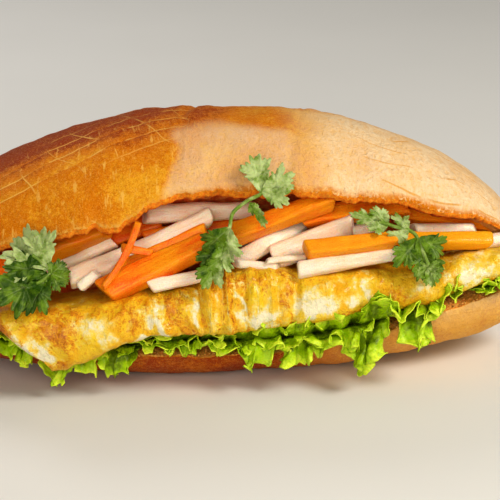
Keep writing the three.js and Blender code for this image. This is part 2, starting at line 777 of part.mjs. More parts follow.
addPiece("bread", makeBread(), finishes.crust);
LETTUCE_LEAVES.forEach((leaf, index) => {
  addPiece(`lettuce_leaf_${index + 1}`, makeLettuceLeaf(leaf), finishes.lettuce);
});
addPiece("omelette", makeOmelette(), finishes.egg);
addSticks();
SPRIGS.forEach((sprig) => addPiece(sprig.name, makeSprig(sprig), finishes.coriander));

export default sandwich;
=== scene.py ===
"""A banh mi sandwich: the looks of each piece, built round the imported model.

Shapes are worked out in millimetres, in the model's own frame, and become metres as meshes are made.
"""
import itertools
import math

import bpy
import numpy as np
from mathutils import Matrix, Vector


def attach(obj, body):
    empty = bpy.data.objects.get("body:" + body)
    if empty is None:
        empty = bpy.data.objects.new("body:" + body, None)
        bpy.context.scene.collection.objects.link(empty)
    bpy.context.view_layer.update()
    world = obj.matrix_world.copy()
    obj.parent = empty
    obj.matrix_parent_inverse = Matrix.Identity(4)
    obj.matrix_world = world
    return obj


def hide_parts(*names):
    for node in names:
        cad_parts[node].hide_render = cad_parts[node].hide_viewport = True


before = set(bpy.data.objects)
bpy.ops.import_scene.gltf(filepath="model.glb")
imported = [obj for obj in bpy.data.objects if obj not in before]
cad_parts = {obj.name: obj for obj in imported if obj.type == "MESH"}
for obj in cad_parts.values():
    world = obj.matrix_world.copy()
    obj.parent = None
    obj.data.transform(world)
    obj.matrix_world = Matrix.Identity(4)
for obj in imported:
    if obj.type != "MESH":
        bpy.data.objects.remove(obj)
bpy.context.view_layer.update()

MM = 0.001
TAU = math.tau


# ---- numbers shared with the solids

ROLL_LENGTH = 220.0
ROLL_HALF_DEPTH = 36.0
ROLL_TOP = 85.0
ROLL_WAIST = 30.0
ROLL_SAG = 2.0
ROLL_SQUARENESS = 2.3
ROLL_LEAN = 0.15
TIP_HEIGHT = 22.0
TIP_RING = 0.986
LOWER_LIP = 12.5
LOWER_LIP_RISE = 19.0
UPPER_LIP = 66.5
UPPER_LIP_DIP = 8.5
UPPER_LIP_RISE = 4.5
LIP_FLAP = 3.4
FLAP_LEFT = (-42, -38)
FLAP_RIGHT = (-30, -22)
SLIT_BACK = -3.0
SLIT_CLOSING = 12.0
CLOSING_SPAN = (74, 108)
SHALLOW_SPAN = (84, 108)
SHALLOW_SHARE = 0.93
SCORE_SLANT = 9
LEFT_SCORE = (-12, -5)
RIGHT_SCORE = (24, 31)
BLOOM_SINK = 1.1
OMELETTE_SLANT = 8.5
LEAF_START = 0.25
FRILL_GROWTH = 9


# ---- small maths

def lerp(a, b, t):
    return a + (b - a) * t


def smoothstep(value, low, high):
    t = np.clip((value - low) / (high - low), 0.0, 1.0)
    return t * t * (3 - 2 * t)


def fade(value, low, high):
    return 1 - smoothstep(value, low, high)


def bell(value, centre, half_width):
    return np.exp(-(((value - centre) / half_width) ** 2))


def wander(t, seed):
    """A smooth wandering value between about -1 and 1, as in the solids."""
    slow = np.sin(t + seed * 1.7)
    middle = np.sin(t * 2.37 + seed * 3.1)
    fast = np.sin(t * 5.11 + seed * 5.9)
    return slow * 0.5 + middle * 0.3 + fast * 0.2


def signed_power(value, power):
    return np.sign(value) * np.abs(value) ** power


def lattice(cells, seed):
    """A repeatable value between -1 and 1 for each whole-numbered cell."""
    h = cells[..., 0] * 374761393 + cells[..., 1] * 668265263 + cells[..., 2] * 2147483647
    h = (h + seed * 974634777).astype(np.uint64) & np.uint64(0xFFFFFFFF)
    h = ((h ^ (h >> np.uint64(13))) * np.uint64(1274126177)) & np.uint64(0xFFFFFFFF)
    h = (h ^ (h >> np.uint64(16))) & np.uint64(0xFFFFFFFF)
    return h.astype(np.float64) / 2147483647.5 - 1.0


def noise(points, size, seed):
    """Smooth value noise over points in millimetres, with lumps about size across."""
    p = points / size
    base = np.floor(p)
    f = p - base
    f = f * f * (3 - 2 * f)
    share = (1 - f, f)
    base = base.astype(np.int64)
    total = np.zeros(points.shape[:-1])
    for dx, dy, dz in np.ndindex(2, 2, 2):
        weight = share[dx][..., 0] * share[dy][..., 1] * share[dz][..., 2]
        total += weight * lattice(base + np.array([dx, dy, dz]), seed)
    return total


def fractal(points, size, octaves, seed):
    total = np.zeros(points.shape[:-1])
    for k in range(octaves):
        total += noise(points, size / 2**k, seed + k) * 0.5**k
    return total


def stack(*parts):
    return np.stack(np.broadcast_arrays(*parts), axis=-1)


def unit(vector):
    vector = np.asarray(vector, dtype=float)
    return vector / np.linalg.norm(vector, axis=-1, keepdims=True)


def curve_points(knots, t):
    """Points of a centripetal Catmull-Rom curve through the knots, for t from 0 to 1."""
    knots = np.array(knots, dtype=float)
    padded = np.vstack([2 * knots[0] - knots[1], knots, 2 * knots[-1] - knots[-2]])
    place = np.clip(t, 0, 1) * (len(knots) - 1)
    whole = np.minimum(place.astype(int), len(knots) - 2)
    part = (place - whole)[:, None]
    a, b, c, d = (padded[whole + k] for k in range(4))
    steps = ((a, b), (b, c), (c, d))
    before, gap, after = (np.sqrt(np.linalg.norm(q - p, axis=1))[:, None] for p, q in steps)
    leave = ((b - a) / before - (c - a) / (before + gap) + (c - b) / gap) * gap
    reach = ((c - b) / gap - (d - b) / (gap + after) + (d - c) / after) * gap
    return (
        b + leave * part
        + (3 * (c - b) - 2 * leave - reach) * part**2
        + (2 * (b - c) + leave + reach) * part**3
    )


# ---- meshes

def grid_faces(rows, columns, wrap):
    """Quads over a grid of points, row by row; wrap joins the last column to the first."""
    j, i = np.meshgrid(np.arange(rows - 1), np.arange(columns if wrap else columns - 1), indexing="ij")
    following = (i + 1) % columns
    quads = [j * columns + i, j * columns + following, (j + 1) * columns + following, (j + 1) * columns + i]
    return np.stack(quads, axis=-1).reshape(-1, 4)


def grid_normals(grid, wrap):
    """Unit normals of a grid of points, across its columns and rows."""
    if wrap:
        across = np.roll(grid, -1, axis=1) - np.roll(grid, 1, axis=1)
    else:
        across = np.gradient(grid, axis=1)
    along = np.gradient(grid, axis=0)
    normal = np.cross(across, along)
    return normal / np.maximum(np.linalg.norm(normal, axis=-1, keepdims=True), 1e-9)


def closed(rings, first_tip, last_tip):
    """Points and faces of a skin through rings, with a fan round a tip at each end."""
    rows, count = rings.shape[:2]
    points = np.concatenate([rings.reshape(-1, 3), [first_tip, last_tip]])
    faces = grid_faces(rows, count, True).tolist()
    head = rows * count
    end = head - count
    for i in range(count):
        following = (i + 1) % count
        faces.append((head, following, i))
        faces.append((head + 1, end + i, end + following))
    return points, faces


def capped(rings, first_tip, last_tip, cap_rings):
    """A closed skin through rings, whose ends are filled by shrinking rings."""
    shares = np.linspace(0, 1, cap_rings + 1)[1:-1]
    first = [lerp(np.asarray(first_tip), rings[0], s) for s in shares]
    last = [lerp(rings[-1], np.asarray(last_tip), s) for s in shares]
    return closed(np.concatenate([np.array(first), rings, np.array(last)]), first_tip, last_tip)


def joined(parts):
    """Puts parts together; each is points, faces, and lists of values for the points."""
    points, faces, *values = zip(*parts)
    starts = np.cumsum([0] + [len(part) for part in points])
    faces = [tuple(i + int(start) for i in face) for start, part in zip(starts, faces) for face in part]
    return np.concatenate(points), faces, *(np.concatenate(lists) for lists in values)


def make_piece(name, points, faces, values, *paints):
    """A mesh object from points in millimetres. values holds a number or vector for each point, by name."""
    mesh = bpy.data.meshes.new(name)
    mesh.from_pydata((np.asarray(points, dtype=float) * MM).tolist(), [], faces)
    for key, value in values.items():
        value = np.asarray(value, dtype=np.float32)
        kind, field = ("FLOAT_VECTOR", "vector") if value.ndim == 2 else ("FLOAT", "value")
        mesh.attributes.new(key, kind, "POINT").data.foreach_set(field, value.ravel())
    mesh.validate()
    mesh.polygons.foreach_set("use_smooth", [True] * len(mesh.polygons))
    mesh.update()
    for paint in paints:
        mesh.materials.append(paint)
    piece = bpy.data.objects.new(name, mesh)
    bpy.context.scene.collection.objects.link(piece)
    return piece


def dress(piece, slot, *nodes):
    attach(piece, "root")
    if nodes:
        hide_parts(*nodes)


# ---- materials

class Paint:
    """Builds one node material; each call adds a node and gives back its output."""

    def __init__(self, name, **surface):
        """surface holds constant inputs of the shader, by name."""
        self.material = bpy.data.materials.new(name)
        self.material.use_nodes = True
        self.tree = self.material.node_tree
        self.shader = self.tree.nodes["Principled BSDF"]
        for key, value in surface.items():
            self.shader.inputs[key.replace("_", " ")].default_value = value

    def feed(self, socket, value):
        if isinstance(value, bpy.types.NodeSocket):
            self.tree.links.new(value, socket)
        elif isinstance(value, tuple) and len(value) == 3 and socket.type == "RGBA":
            socket.default_value = (*value, 1.0)
        else:
            socket.default_value = value

    def node(self, kind, output, feeds, **settings):
        made = self.tree.nodes.new(kind)
        for key, value in settings.items():
            setattr(made, key, value)
        for key, value in feeds.items():
            self.feed(made.inputs[key], value)
        return made.outputs[output]

    def stretch(self, where, scale):
        return self.node("ShaderNodeMapping", "Vector", {"Vector": where, "Scale": scale})

    def place(self):
        """Object coordinates in millimetres."""
        return self.stretch(self.node("ShaderNodeTexCoord", "Object", {}), (1 / MM,) * 3)

    def value(self, name, output="Fac"):
        """A value on the mesh."""
        return self.node("ShaderNodeAttribute", output, {}, attribute_name=name)

    def join(self, x, y):
        return self.node("ShaderNodeCombineXYZ", "Vector", {"X": x, "Y": y})

    def cloud(self, where, scale, detail=4.0, roughness=0.55):
        feeds = {"Vector": where, "Scale": scale, "Detail": detail, "Roughness": roughness}
        return self.node("ShaderNodeTexNoise", "Fac", feeds)

    def cells(self, where, scale):
        return self.node("ShaderNodeTexVoronoi", "Distance", {"Vector": where, "Scale": scale},
                         feature="SMOOTH_F1")

    def shift(self, where, scale):
        """Moves coordinates about by a noise, by up to a millimetre."""
        push = self.node("ShaderNodeTexNoise", "Color", {"Vector": where, "Scale": scale})
        return self.node("ShaderNodeVectorMath", "Vector", {0: push, 1: (1.0,) * 3, 2: where},
                         operation="MULTIPLY_ADD")

    def maths(self, operation, a, b=0.0, clamp=False):
        return self.node("ShaderNodeMath", "Value", {0: a, 1: b}, operation=operation, use_clamp=clamp)

    def plus(self, a, b, clamp=False):
        return self.maths("ADD", a, b, clamp)

    def less(self, a, b, clamp=False):
        return self.maths("SUBTRACT", a, b, clamp)

    def times(self, a, b):
        return self.maths("MULTIPLY", a, b)

    def swing(self, field, amount):
        """Makes a field that runs from 0 to 1 swing about 0."""
        return self.times(self.less(field, 0.5), amount)

    def ease(self, value, low, high, out_low=0.0, out_high=1.0):
        feeds = {"Value": value, "From Min": low, "From Max": high, "To Min": out_low, "To Max": out_high}
        return self.node("ShaderNodeMapRange", "Result", feeds, interpolation_type="SMOOTHSTEP")

    def broken(self, name, field, low, high, out_low=0.0, out_high=1.0):
        """A value on the mesh, broken up by a field."""
        return self.times(self.value(name), self.ease(field, low, high, out_low, out_high))

    def mix(self, amount, a, b):
        return self.node("ShaderNodeMix", 2, {0: amount, 6: a, 7: b}, data_type="RGBA")

    def over(self, colour, *layers):
        """Lays colours over one another; each layer is how much of it there is, and its colour."""
        for amount, layer in layers:
            colour = self.mix(amount, colour, layer)
        return colour

    def relief(self, *heights):
        """Bumps on top of one another; each is a height and its depth in millimetres."""
        normal = None
        for height, depth in heights:
            feeds = {"Height": height, "Distance": depth * MM}
            if normal is not None:
                feeds["Normal"] = normal
            normal = self.node("ShaderNodeBump", "Normal", feeds)
        return normal

    def finish(self, colour, roughness=None, normal=None):
        for key, part in (("Base Color", colour), ("Roughness", roughness), ("Normal", normal)):
            if part is not None:
                self.feed(self.shader.inputs[key], part)
        return self.material


CRUST_DARK = (0.36, 0.045, 0.002)
CRUST_ORANGE = (0.70, 0.215, 0.003)
CRUST_GOLD = (0.85, 0.40, 0.022)
CRUST_PALE = (0.95, 0.74, 0.49)
CRUST_CREAM = (0.95, 0.62, 0.16)
CRUST_OCHRE = (0.74, 0.34, 0.05)
# The last colour is a painted sheen of back light, pinkish, for the far side of the crest.
CRUST_SHEEN = (0.58, 0.28, 0.20)

# Of the lines on the crust: the way between two of them, and their width.
ARC_SPACING = 5.2
JOIN_SPACING = 15.0
CRACKLE_WIDTH = 0.34
VEIN_SPACING = 8.0
VEIN_WIDTH = 0.42


def thin_lines(p, phase, spacing, width):
    """Lines wherever a smooth field passes halfway between whole numbers; sizes in millimetres."""
    off = p.maths("ABSOLUTE", p.less(p.maths("FRACT", phase), 0.5))
    return p.ease(off, 0.3 * width / spacing, width / spacing, 1.0, 0.0)


def drift(p, skin, scale, amount):
    return p.swing(p.cloud(skin, scale, 2.0), amount)


def crust_lines(p, skin, along, round_way):
    """Long arcs that follow the roll, and short slanted lines that join them."""
    sloping = p.plus(p.times(round_way, 1 / ARC_SPACING), p.times(along, 0.045))
    bands = p.plus(sloping, drift(p, skin, 0.016, 1.6))
    arcs = thin_lines(p, bands, ARC_SPACING, CRACKLE_WIDTH)
    slanted = p.less(along, p.times(round_way, 0.7))
    blocks = p.plus(p.times(slanted, 1 / JOIN_SPACING), drift(p, skin, 0.03, 1.6))
    joins = thin_lines(p, blocks, JOIN_SPACING, CRACKLE_WIDTH)
    kept = p.ease(p.cloud(skin, 0.06, 3.0), 0.42, 0.52)
    return p.times(p.maths("MAXIMUM", arcs, joins), kept), p.maths("FRACT", p.plus(bands, 0.5))


def crust_veins(p, skin, round_way):
    """Faint wavy lines that follow the roll."""
    wavy = p.plus(p.times(round_way, 1 / VEIN_SPACING), drift(p, skin, 0.024, 3.0))
    veins = p.times(thin_lines(p, wavy, VEIN_SPACING, VEIN_WIDTH), p.ease(p.cloud(skin, 0.08), 0.46, 0.56))
    return p.times(veins, p.value("veined"))


def crust_paint():
    """Baked crust: values on the mesh say how dark, pale, sheened and lined it is at each place; the dark
    and pale hold some painted shade and light, and the sheen is a painted highlight of back light.
    """
    p = Paint("crust", IOR=1.45, Specular_IOR_Level=0.20, Specular_Tint=(1.0, 0.70, 0.32, 1.0))
    where, pale, crackle = p.place(), p.value("pale"), p.value("crackle")
    along, round_way = p.value("along"), p.value("round")
    skin = p.join(along, round_way)
    mottle = p.cloud(where, 0.07, 5.0, 0.6)
    speckle = p.cloud(where, 0.8, 4.0, 0.7)
    freckle = p.cloud(where, 2.3, 2.0, 0.6)
    flakes = p.cloud(p.join(along, p.times(round_way, 0.3)), 0.6, 3.0, 0.6)
    wrinkles = p.cloud(p.join(along, p.times(round_way, 0.55)), 0.45, 3.0, 0.6)
    lines, band = crust_lines(p, skin, along, round_way)
    lines = p.times(lines, crackle)
    baked = p.plus(p.plus(p.value("bake"), p.swing(mottle, 1.1)), p.swing(speckle, 1.1))
    baked = p.less(baked, p.times(p.swing(band, crackle), 0.30), clamp=True)
    freckled = p.less(0.32, p.times(pale, 0.3), clamp=True)
    colour = p.over(
        p.mix(p.ease(baked, 0.0, 0.45), CRUST_GOLD, CRUST_ORANGE),
        (p.ease(baked, 0.42, 1.0), CRUST_DARK),
        (p.broken("pale", speckle, 0.35, 0.6, 0.72, 1.0), CRUST_PALE),
        (p.ease(freckle, 0.52, 0.7, 0.0, 0.32), CRUST_CREAM),
        (p.times(p.ease(freckle, 0.3, 0.48, 1.0, 0.0), freckled), CRUST_DARK),
        (p.broken("flaky", flakes, 0.58, 0.68, 0.0, 0.5), CRUST_CREAM),
        (p.broken("lip", speckle, 0.40, 0.56), CRUST_CREAM),
        (p.broken("toasted", speckle, 0.32, 0.54), CRUST_ORANGE),
        # Painted sheen: a pinkish highlight of back light over the far side of the crest.
        (p.broken("back_sheen", speckle, 0.3, 0.6, 0.5, 0.9), CRUST_SHEEN),
        (p.times(lines, 0.66), CRUST_CREAM),
        (p.times(crust_veins(p, skin, round_way), 0.75), CRUST_OCHRE),
        (p.broken("pale", wrinkles, 0.34, 0.5, 0.26, 0.0), CRUST_GOLD),
    )
    normal = p.relief((freckle, 0.34), (speckle, 0.7), (p.times(wrinkles, pale), 0.9), (lines, 0.12))
    return p.finish(colour, p.ease(speckle, 0.35, 0.65, 0.34, 0.56), normal)


def crumb_paint():
    p = Paint("crumb", IOR=1.4, Specular_IOR_Level=0.3, Subsurface_Weight=0.2,
              Subsurface_Radius=(0.006, 0.003, 0.001))
    where = p.place()
    pores = p.cells(p.shift(where, 0.5), 0.55)
    grain = p.cloud(where, 1.6, 4.0, 0.7)
    toast = p.mix(p.ease(grain, 0.35, 0.65), (0.84, 0.19, 0.006), (0.95, 0.40, 0.03))
    colour = p.over(
        p.mix(p.ease(grain, 0.3, 0.7), (0.84, 0.46, 0.12), (0.92, 0.62, 0.24)),
        (p.value("toast"), toast),
        # Painted shade in the pores: each hole of the crumb is darkened.
        (p.ease(pores, 0.1, 0.45, 0.45, 0.0), (0.50, 0.17, 0.02)),
        # Painted shade: a mottled dark red laid deep in the slit, where the crumb lies in shade among the
        # fillings.
        (p.broken("slit_shade", p.cloud(where, 0.35, 4.0, 0.6), 0.32, 0.56, 0.45, 1.0), (0.62, 0.07, 0.006)),
    )
    normal = p.relief((pores, 1.0), (grain, 0.6))
    return p.finish(colour, p.ease(grain, 0.3, 0.7, 0.7, 0.9), normal)


def egg_paint():
    """Fried egg: yellow, with white and browned patches given by values on the mesh; these also hold painted
    highlights on the pleats' ridges and painted shade in their grooves.
    """
    p = Paint("egg", IOR=1.42, Specular_IOR_Level=0.35, Specular_Tint=(1.0, 0.92, 0.7, 1.0),
              Coat_Weight=0.30, Coat_Roughness=0.2, Subsurface_Weight=0.12,
              Subsurface_Radius=(0.004, 0.002, 0.0006))
    where, white = p.place(), p.value("white")
    cloud = p.cloud(where, 0.16, 5.0, 0.62)
    fine = p.cloud(where, 0.62, 4.0, 0.68)
    lace = p.cloud(where, 1.7, 3.0, 0.65)
    wrapped = p.join(p.value("along"), p.times(p.value("round"), 0.22))
    fibres = p.swing(p.cloud(wrapped, 0.55, 4.0, 0.62), p.value("creased"))
    uneven = p.plus(p.plus(p.swing(fine, 2.6), p.swing(lace, 2.2)), p.times(fibres, 3.4))
    clotted = p.swing(p.cloud(where, 0.3, 4.0, 0.65), 2.2)
    pale = p.less(p.plus(white, clotted), p.times(fibres, 2.2))
    browned = p.less(p.plus(p.value("brown"), uneven), p.times(white, 0.9))
    colour = p.over(
        p.mix(p.ease(cloud, 0.38, 0.62), (0.88, 0.46, 0.008), (0.94, 0.62, 0.030)),
        (p.value("yolk"), (0.97, 0.70, 0.020)),
        (p.ease(pale, 0.15, 0.7), (0.95, 0.74, 0.18)),
        (p.ease(pale, 0.45, 0.95, 0.0, 0.95), (0.94, 0.87, 0.63)),
        (p.ease(browned, 0.2, 0.75, 0.0, 0.85), (0.74, 0.27, 0.006)),
        (p.ease(browned, 0.7, 1.4, 0.0, 0.8), (0.46, 0.11, 0.004)),
    )
    normal = p.relief((fine, 0.9), (lace, 0.5), (fibres, 1.4))
    return p.finish(colour, p.ease(fine, 0.3, 0.7, 0.26, 0.5), normal)


def leaf_paint(name, deep, middle, light, vein, veining):
    """Leaf green; values on the mesh say how light each place is, which holds painted light and shade with
    the leaf's own tone, and where its veins run.
    """
    p = Paint(name, IOR=1.4, Specular_IOR_Level=0.35, Specular_Tint=(0.95, 1.0, 0.7, 1.0),
              Coat_Weight=0.10, Coat_Roughness=0.22, Subsurface_Weight=0.35,
              Subsurface_Radius=(0.0014, 0.0024, 0.0004))
    where = p.place()
    cloud = p.cloud(where, 0.3, 4.0, 0.6)
    amount = p.plus(p.value("light"), p.swing(cloud, 1.6), clamp=True)
    colour = p.over(
        p.mix(p.ease(amount, 0.0, 0.5), deep, middle),
        (p.ease(amount, 0.5, 1.0), light),
        (p.times(p.value("vein"), veining), vein),
    )
    normal = p.relief((p.cloud(where, 1.2, 3.0), 0.35), (p.cells(where, 0.8), 0.4))
    return p.finish(colour, p.ease(cloud, 0.3, 0.7, 0.28, 0.44), normal)


def stick_paint(name, core, rind, streak, wet, tint):
    """A cut vegetable stick: the fibre value runs along each stick, in millimetres."""
    p = Paint(name, IOR=1.42, Specular_IOR_Level=0.4, Specular_Tint=tint, Coat_Weight=wet,
              Coat_Roughness=0.18, Subsurface_Weight=0.4, Subsurface_Radius=(0.009, 0.003, 0.001))
    fibre, tone = p.value("fibre", "Vector"), p.value("tone")
    grain = p.cloud(p.stretch(fibre, (0.11, 1.0, 1.0)), 0.9, 4.0, 0.65)
    patch = p.cloud(fibre, 0.11, 3.0, 0.5)
    granules = p.cloud(fibre, 2.4, 2.0, 0.5)
    colour = p.over(
        p.mix(p.plus(p.ease(patch, 0.35, 0.65), p.times(tone, 0.5), clamp=True), core, rind),
        (p.ease(grain, 0.42, 0.68, 0.0, 0.55), streak),
        (p.ease(granules, 0.5, 0.68, 0.0, 0.35), streak),
        (p.ease(granules, 0.32, 0.46, 0.3, 0.0), core),
        # Painted light: a stick whose tone is over 1 turns golden, as if lit.
        (p.ease(tone, 1.0, 2.0, 0.0, 0.75), (1.0, 0.52, 0.012)),
    )
    normal = p.relief((grain, 0.4), (granules, 0.35))
    return p.finish(colour, p.ease(granules, 0.3, 0.7, 0.24, 0.5), normal)


# ---- the roll

STATIONS = 370
CRUST_POINTS = 172
SLIT_POINTS = 48

# Blisters: how many, how far each spreads over the crust's grid, and which of its points and stations
# they may be at, anywhere and on the bloom.
BLISTERS = 90
BLISTER_SPREAD = 9
CRUST_POINT_SPAN = (33, 168)
CRUST_STATION_SPAN = (20, 350)
BLOOM_POINT_SPAN = (78, 123)
BLOOM_STATION_SPAN = (179, 247)


def roll_taper(x):
    return np.sqrt(np.maximum(0.0, 1 - (x / (ROLL_LENGTH / 2)) ** 2))


def lip_closing(x):
    return smoothstep(-x, *CLOSING_SPAN) * SLIT_CLOSING


def lower_lip(x):
    rise = np.clip((x - 15) / 80, 0, 1.1) ** 1.6 * LOWER_LIP_RISE
    return LOWER_LIP + rise + lip_closing(x)


def upper_lip(x):
    dip = fade(x, -55, -10) * UPPER_LIP_DIP
    rise = (smoothstep(x, 70, 98) - smoothstep(x, 98, 112)) * UPPER_LIP_RISE
    return UPPER_LIP - dip + rise - lip_closing(x)


def roll_point(x, y, z):
    """A point of the middle cross-section, carried to the station x."""
    taper = roll_taper(x)
    return stack(x, y * taper, np.maximum(0.0, (1 - taper) * TIP_HEIGHT + z * taper))


def crust_reach(above):
    return np.where(above, ROLL_TOP - ROLL_WAIST, ROLL_WAIST + ROLL_SAG)


def crust_outline(angle, puff):
    power = 2 / ROLL_SQUARENESS
    up = signed_power(np.sin(angle), power)
    out = signed_power(np.cos(angle), power)
    z = ROLL_WAIST + up * (crust_reach(up > 0) + puff)
    y = out * (ROLL_HALF_DEPTH + puff) + np.maximum(0, z - ROLL_WAIST) * ROLL_LEAN
    return y, z


def lip_angle(height, above):
    share = np.clip(np.abs(height - ROLL_WAIST) / crust_reach(above), 0, 1)
    return np.arcsin(share ** (ROLL_SQUARENESS / 2))


def lip_point(x):
    """A point of the lower lip."""
    y, _ = crust_outline(math.pi + lip_angle(lower_lip(x), False), 0)
    return roll_point(x, y, lower_lip(x))


def over_scores(x, angle):
    """The place along the roll as the slanted scores count it."""
    return x + (angle - math.pi * 2.5) * SCORE_SLANT


def crust_puff(x, angle):
    top = np.maximum(0, np.sin(angle))
    lumps = wander(x * 0.11 + angle * 2, 1) * 0.5 + wander(x * 0.3 - angle * 5, 2) * 0.25
    across = over_scores(x, angle)
    bloom = smoothstep(across, *LEFT_SCORE) - smoothstep(across, *RIGHT_SCORE)
    return lumps - bloom * top * BLOOM_SINK


def roll_stations():
    t = np.linspace(-1, 1, STATIONS)
    return TIP_RING * (ROLL_LENGTH / 2) * (0.6 * t + 0.4 * np.sin(t * math.pi / 2))


def lip_lines(x):
    """Heights of the two cut edges in the middle section's terms, with their raggedness."""
    place = stack(x, x * 0, x * 0)
    ragged = noise(place, 3.1, 5) * 0.3 + noise(place, 1.2, 6) * 0.22
    low = lower_lip(x) + wander(x * 0.22, 7) * 0.7 + ragged
    torn = 0.5 + 0.5 * noise(place, 14, 10)
    ragged = noise(place, 4.4, 7) * 0.3 + noise(place, 1.7, 8) * 0.4 * torn + noise(place, 0.8, 9) * 0.35
    flap = smoothstep(x, *FLAP_LEFT) * fade(x, *FLAP_RIGHT)
    high = upper_lip(x) + wander(x * 0.21, 9) * 0.6 + ragged - flap * LIP_FLAP
    return low, high


def crust_section(x):
    """Angles round each station's crust, from the lower lip underneath to the upper one, and its outline."""
    low, high = lip_lines(x)
    start = np.where(low < ROLL_WAIST, math.pi + lip_angle(low, False), math.pi - lip_angle(low, True))
    end = math.pi * 3 - lip_angle(high, True)
    angle = lerp(start[:, None], end[:, None], np.linspace(0, 1, CRUST_POINTS)[None, :])
    return angle, *crust_outline(angle, crust_puff(x[:, None], angle))


def slit_share():
    """How far each of the slit's points is from the upper lip, on its way round to the lower one."""
    return np.linspace(0, 1, SLIT_POINTS + 2)[1:-1]


def slit_grid(x, y, z):
    """Points inside the slit, from the upper lip to the back and out again, for the crust's outline."""
    low_y, low_z, high_y, high_z = y[:, 0], z[:, 0], y[:, -1], z[:, -1]
    depth = 1 - smoothstep(np.abs(x), *SHALLOW_SPAN) * SHALLOW_SHARE
    back = np.full_like(x, SLIT_BACK)
    corners = [
        (high_y, high_z, high_y),
        (high_y + 0.8, high_z - 2.4, high_y),
        (high_y + 4.2, high_z - 3.2, high_y),
        (high_y + 10, high_z - 4.5, high_y),
        (back - 5, high_z - 9, high_y),
        (back, high_z - 17, high_y),
        (back, lerp(low_z, high_z, 0.42), low_y),
        (back - 3, low_z + 10, low_y),
        (low_y + 17, low_z + 5, low_y),
        (low_y + 8, low_z + 2, low_y),
        (low_y + 2.6, low_z + 0.8, low_y),
        (low_y, low_z, low_y),
    ]
    route = np.stack([stack(lip + (py - lip) * depth, pz) for py, pz, lip in corners], axis=1)
    steps = np.linspace(0, len(corners) - 1, SLIT_POINTS + 2)[1:-1]
    whole = steps.astype(int)
    part = (steps - whole)[None, :, None]
    slit = route[:, whole] * (1 - part) + route[:, whole + 1] * part
    inside = roll_point(x[:, None], slit[..., 0], slit[..., 1])
    from_lip = np.minimum(slit_share(), 1 - slit_share()) * 2
    inside[..., 1] += fractal(inside, 3.0, 3, 41) * 0.35 * smoothstep(from_lip, 0.0, 0.1)
    inside[..., 2] += noise(inside, 1.6, 45) * 0.25
    return inside


def score_edges(xs, angle):
    """Raggedness over the crust, the place across the scores, and how far each place is torn open."""
    across = over_scores(xs, angle)
    ragged = fractal(stack(angle * 30, xs * 0.4, 0), 7, 2, 31) * 2.2
    torn = smoothstep(across + ragged, -7.6, -6.4) * fade(across + ragged * 0.6, 26.5, 28.0)
    return ragged, across, torn


def crust_blisters(crust):
    """Small bubbles baked into the crust: their height, and how browned each place is by them."""
    rng = np.random.default_rng(3)
    height = np.zeros(crust.shape[:2])
    spots = np.zeros(crust.shape[:2])
    for _ in range(BLISTERS):
        j = rng.integers(*CRUST_STATION_SPAN)
        on_bloom = rng.random() < 0.6
        i = rng.integers(*(BLOOM_POINT_SPAN if on_bloom else CRUST_POINT_SPAN))
        if on_bloom:
            j = rng.integers(*BLOOM_STATION_SPAN)
        radius = rng.uniform(0.7, 1.7)
        near = np.s_[j - BLISTER_SPREAD:j + BLISTER_SPREAD + 1, i - BLISTER_SPREAD:i + BLISTER_SPREAD + 1]
        away = np.linalg.norm(crust[near] - crust[j, i], axis=-1) / radius
        bubble = np.exp(-(away**2))
        height[near] += bubble * radius * 0.22
        spots[near] += bubble * rng.uniform(0.2, 0.9)
    return height, np.clip(spots, 0, 1)


def raised_crust(crust, angle, ragged, across, torn):
    """The crust with its lumps, torn scores and blisters, and how browned the blisters are."""
    normal = grid_normals(crust, False)
    outward = np.sign(normal[:, CRUST_POINTS // 2, 2].mean())
    blisters, spots = crust_blisters(crust)
    edges = -0.55 * torn + 0.5 * bell(across + ragged, -8.6, 1.5) + 0.3 * bell(across, 28.6, 1.2)
    relief = fractal(crust, 16, 3, 21) * 0.28 + noise(crust, 3.2, 24) * 0.07
    relief = relief + edges * np.clip(np.sin(angle), 0, 1) ** 2 + blisters
    relief = relief * smoothstep(crust[..., 2], 0.0, 1.5)
    crust = crust + normal * outward * relief[..., None]
    crust[..., 2] = np.maximum(crust[..., 2], 0.0)
    return crust, spots


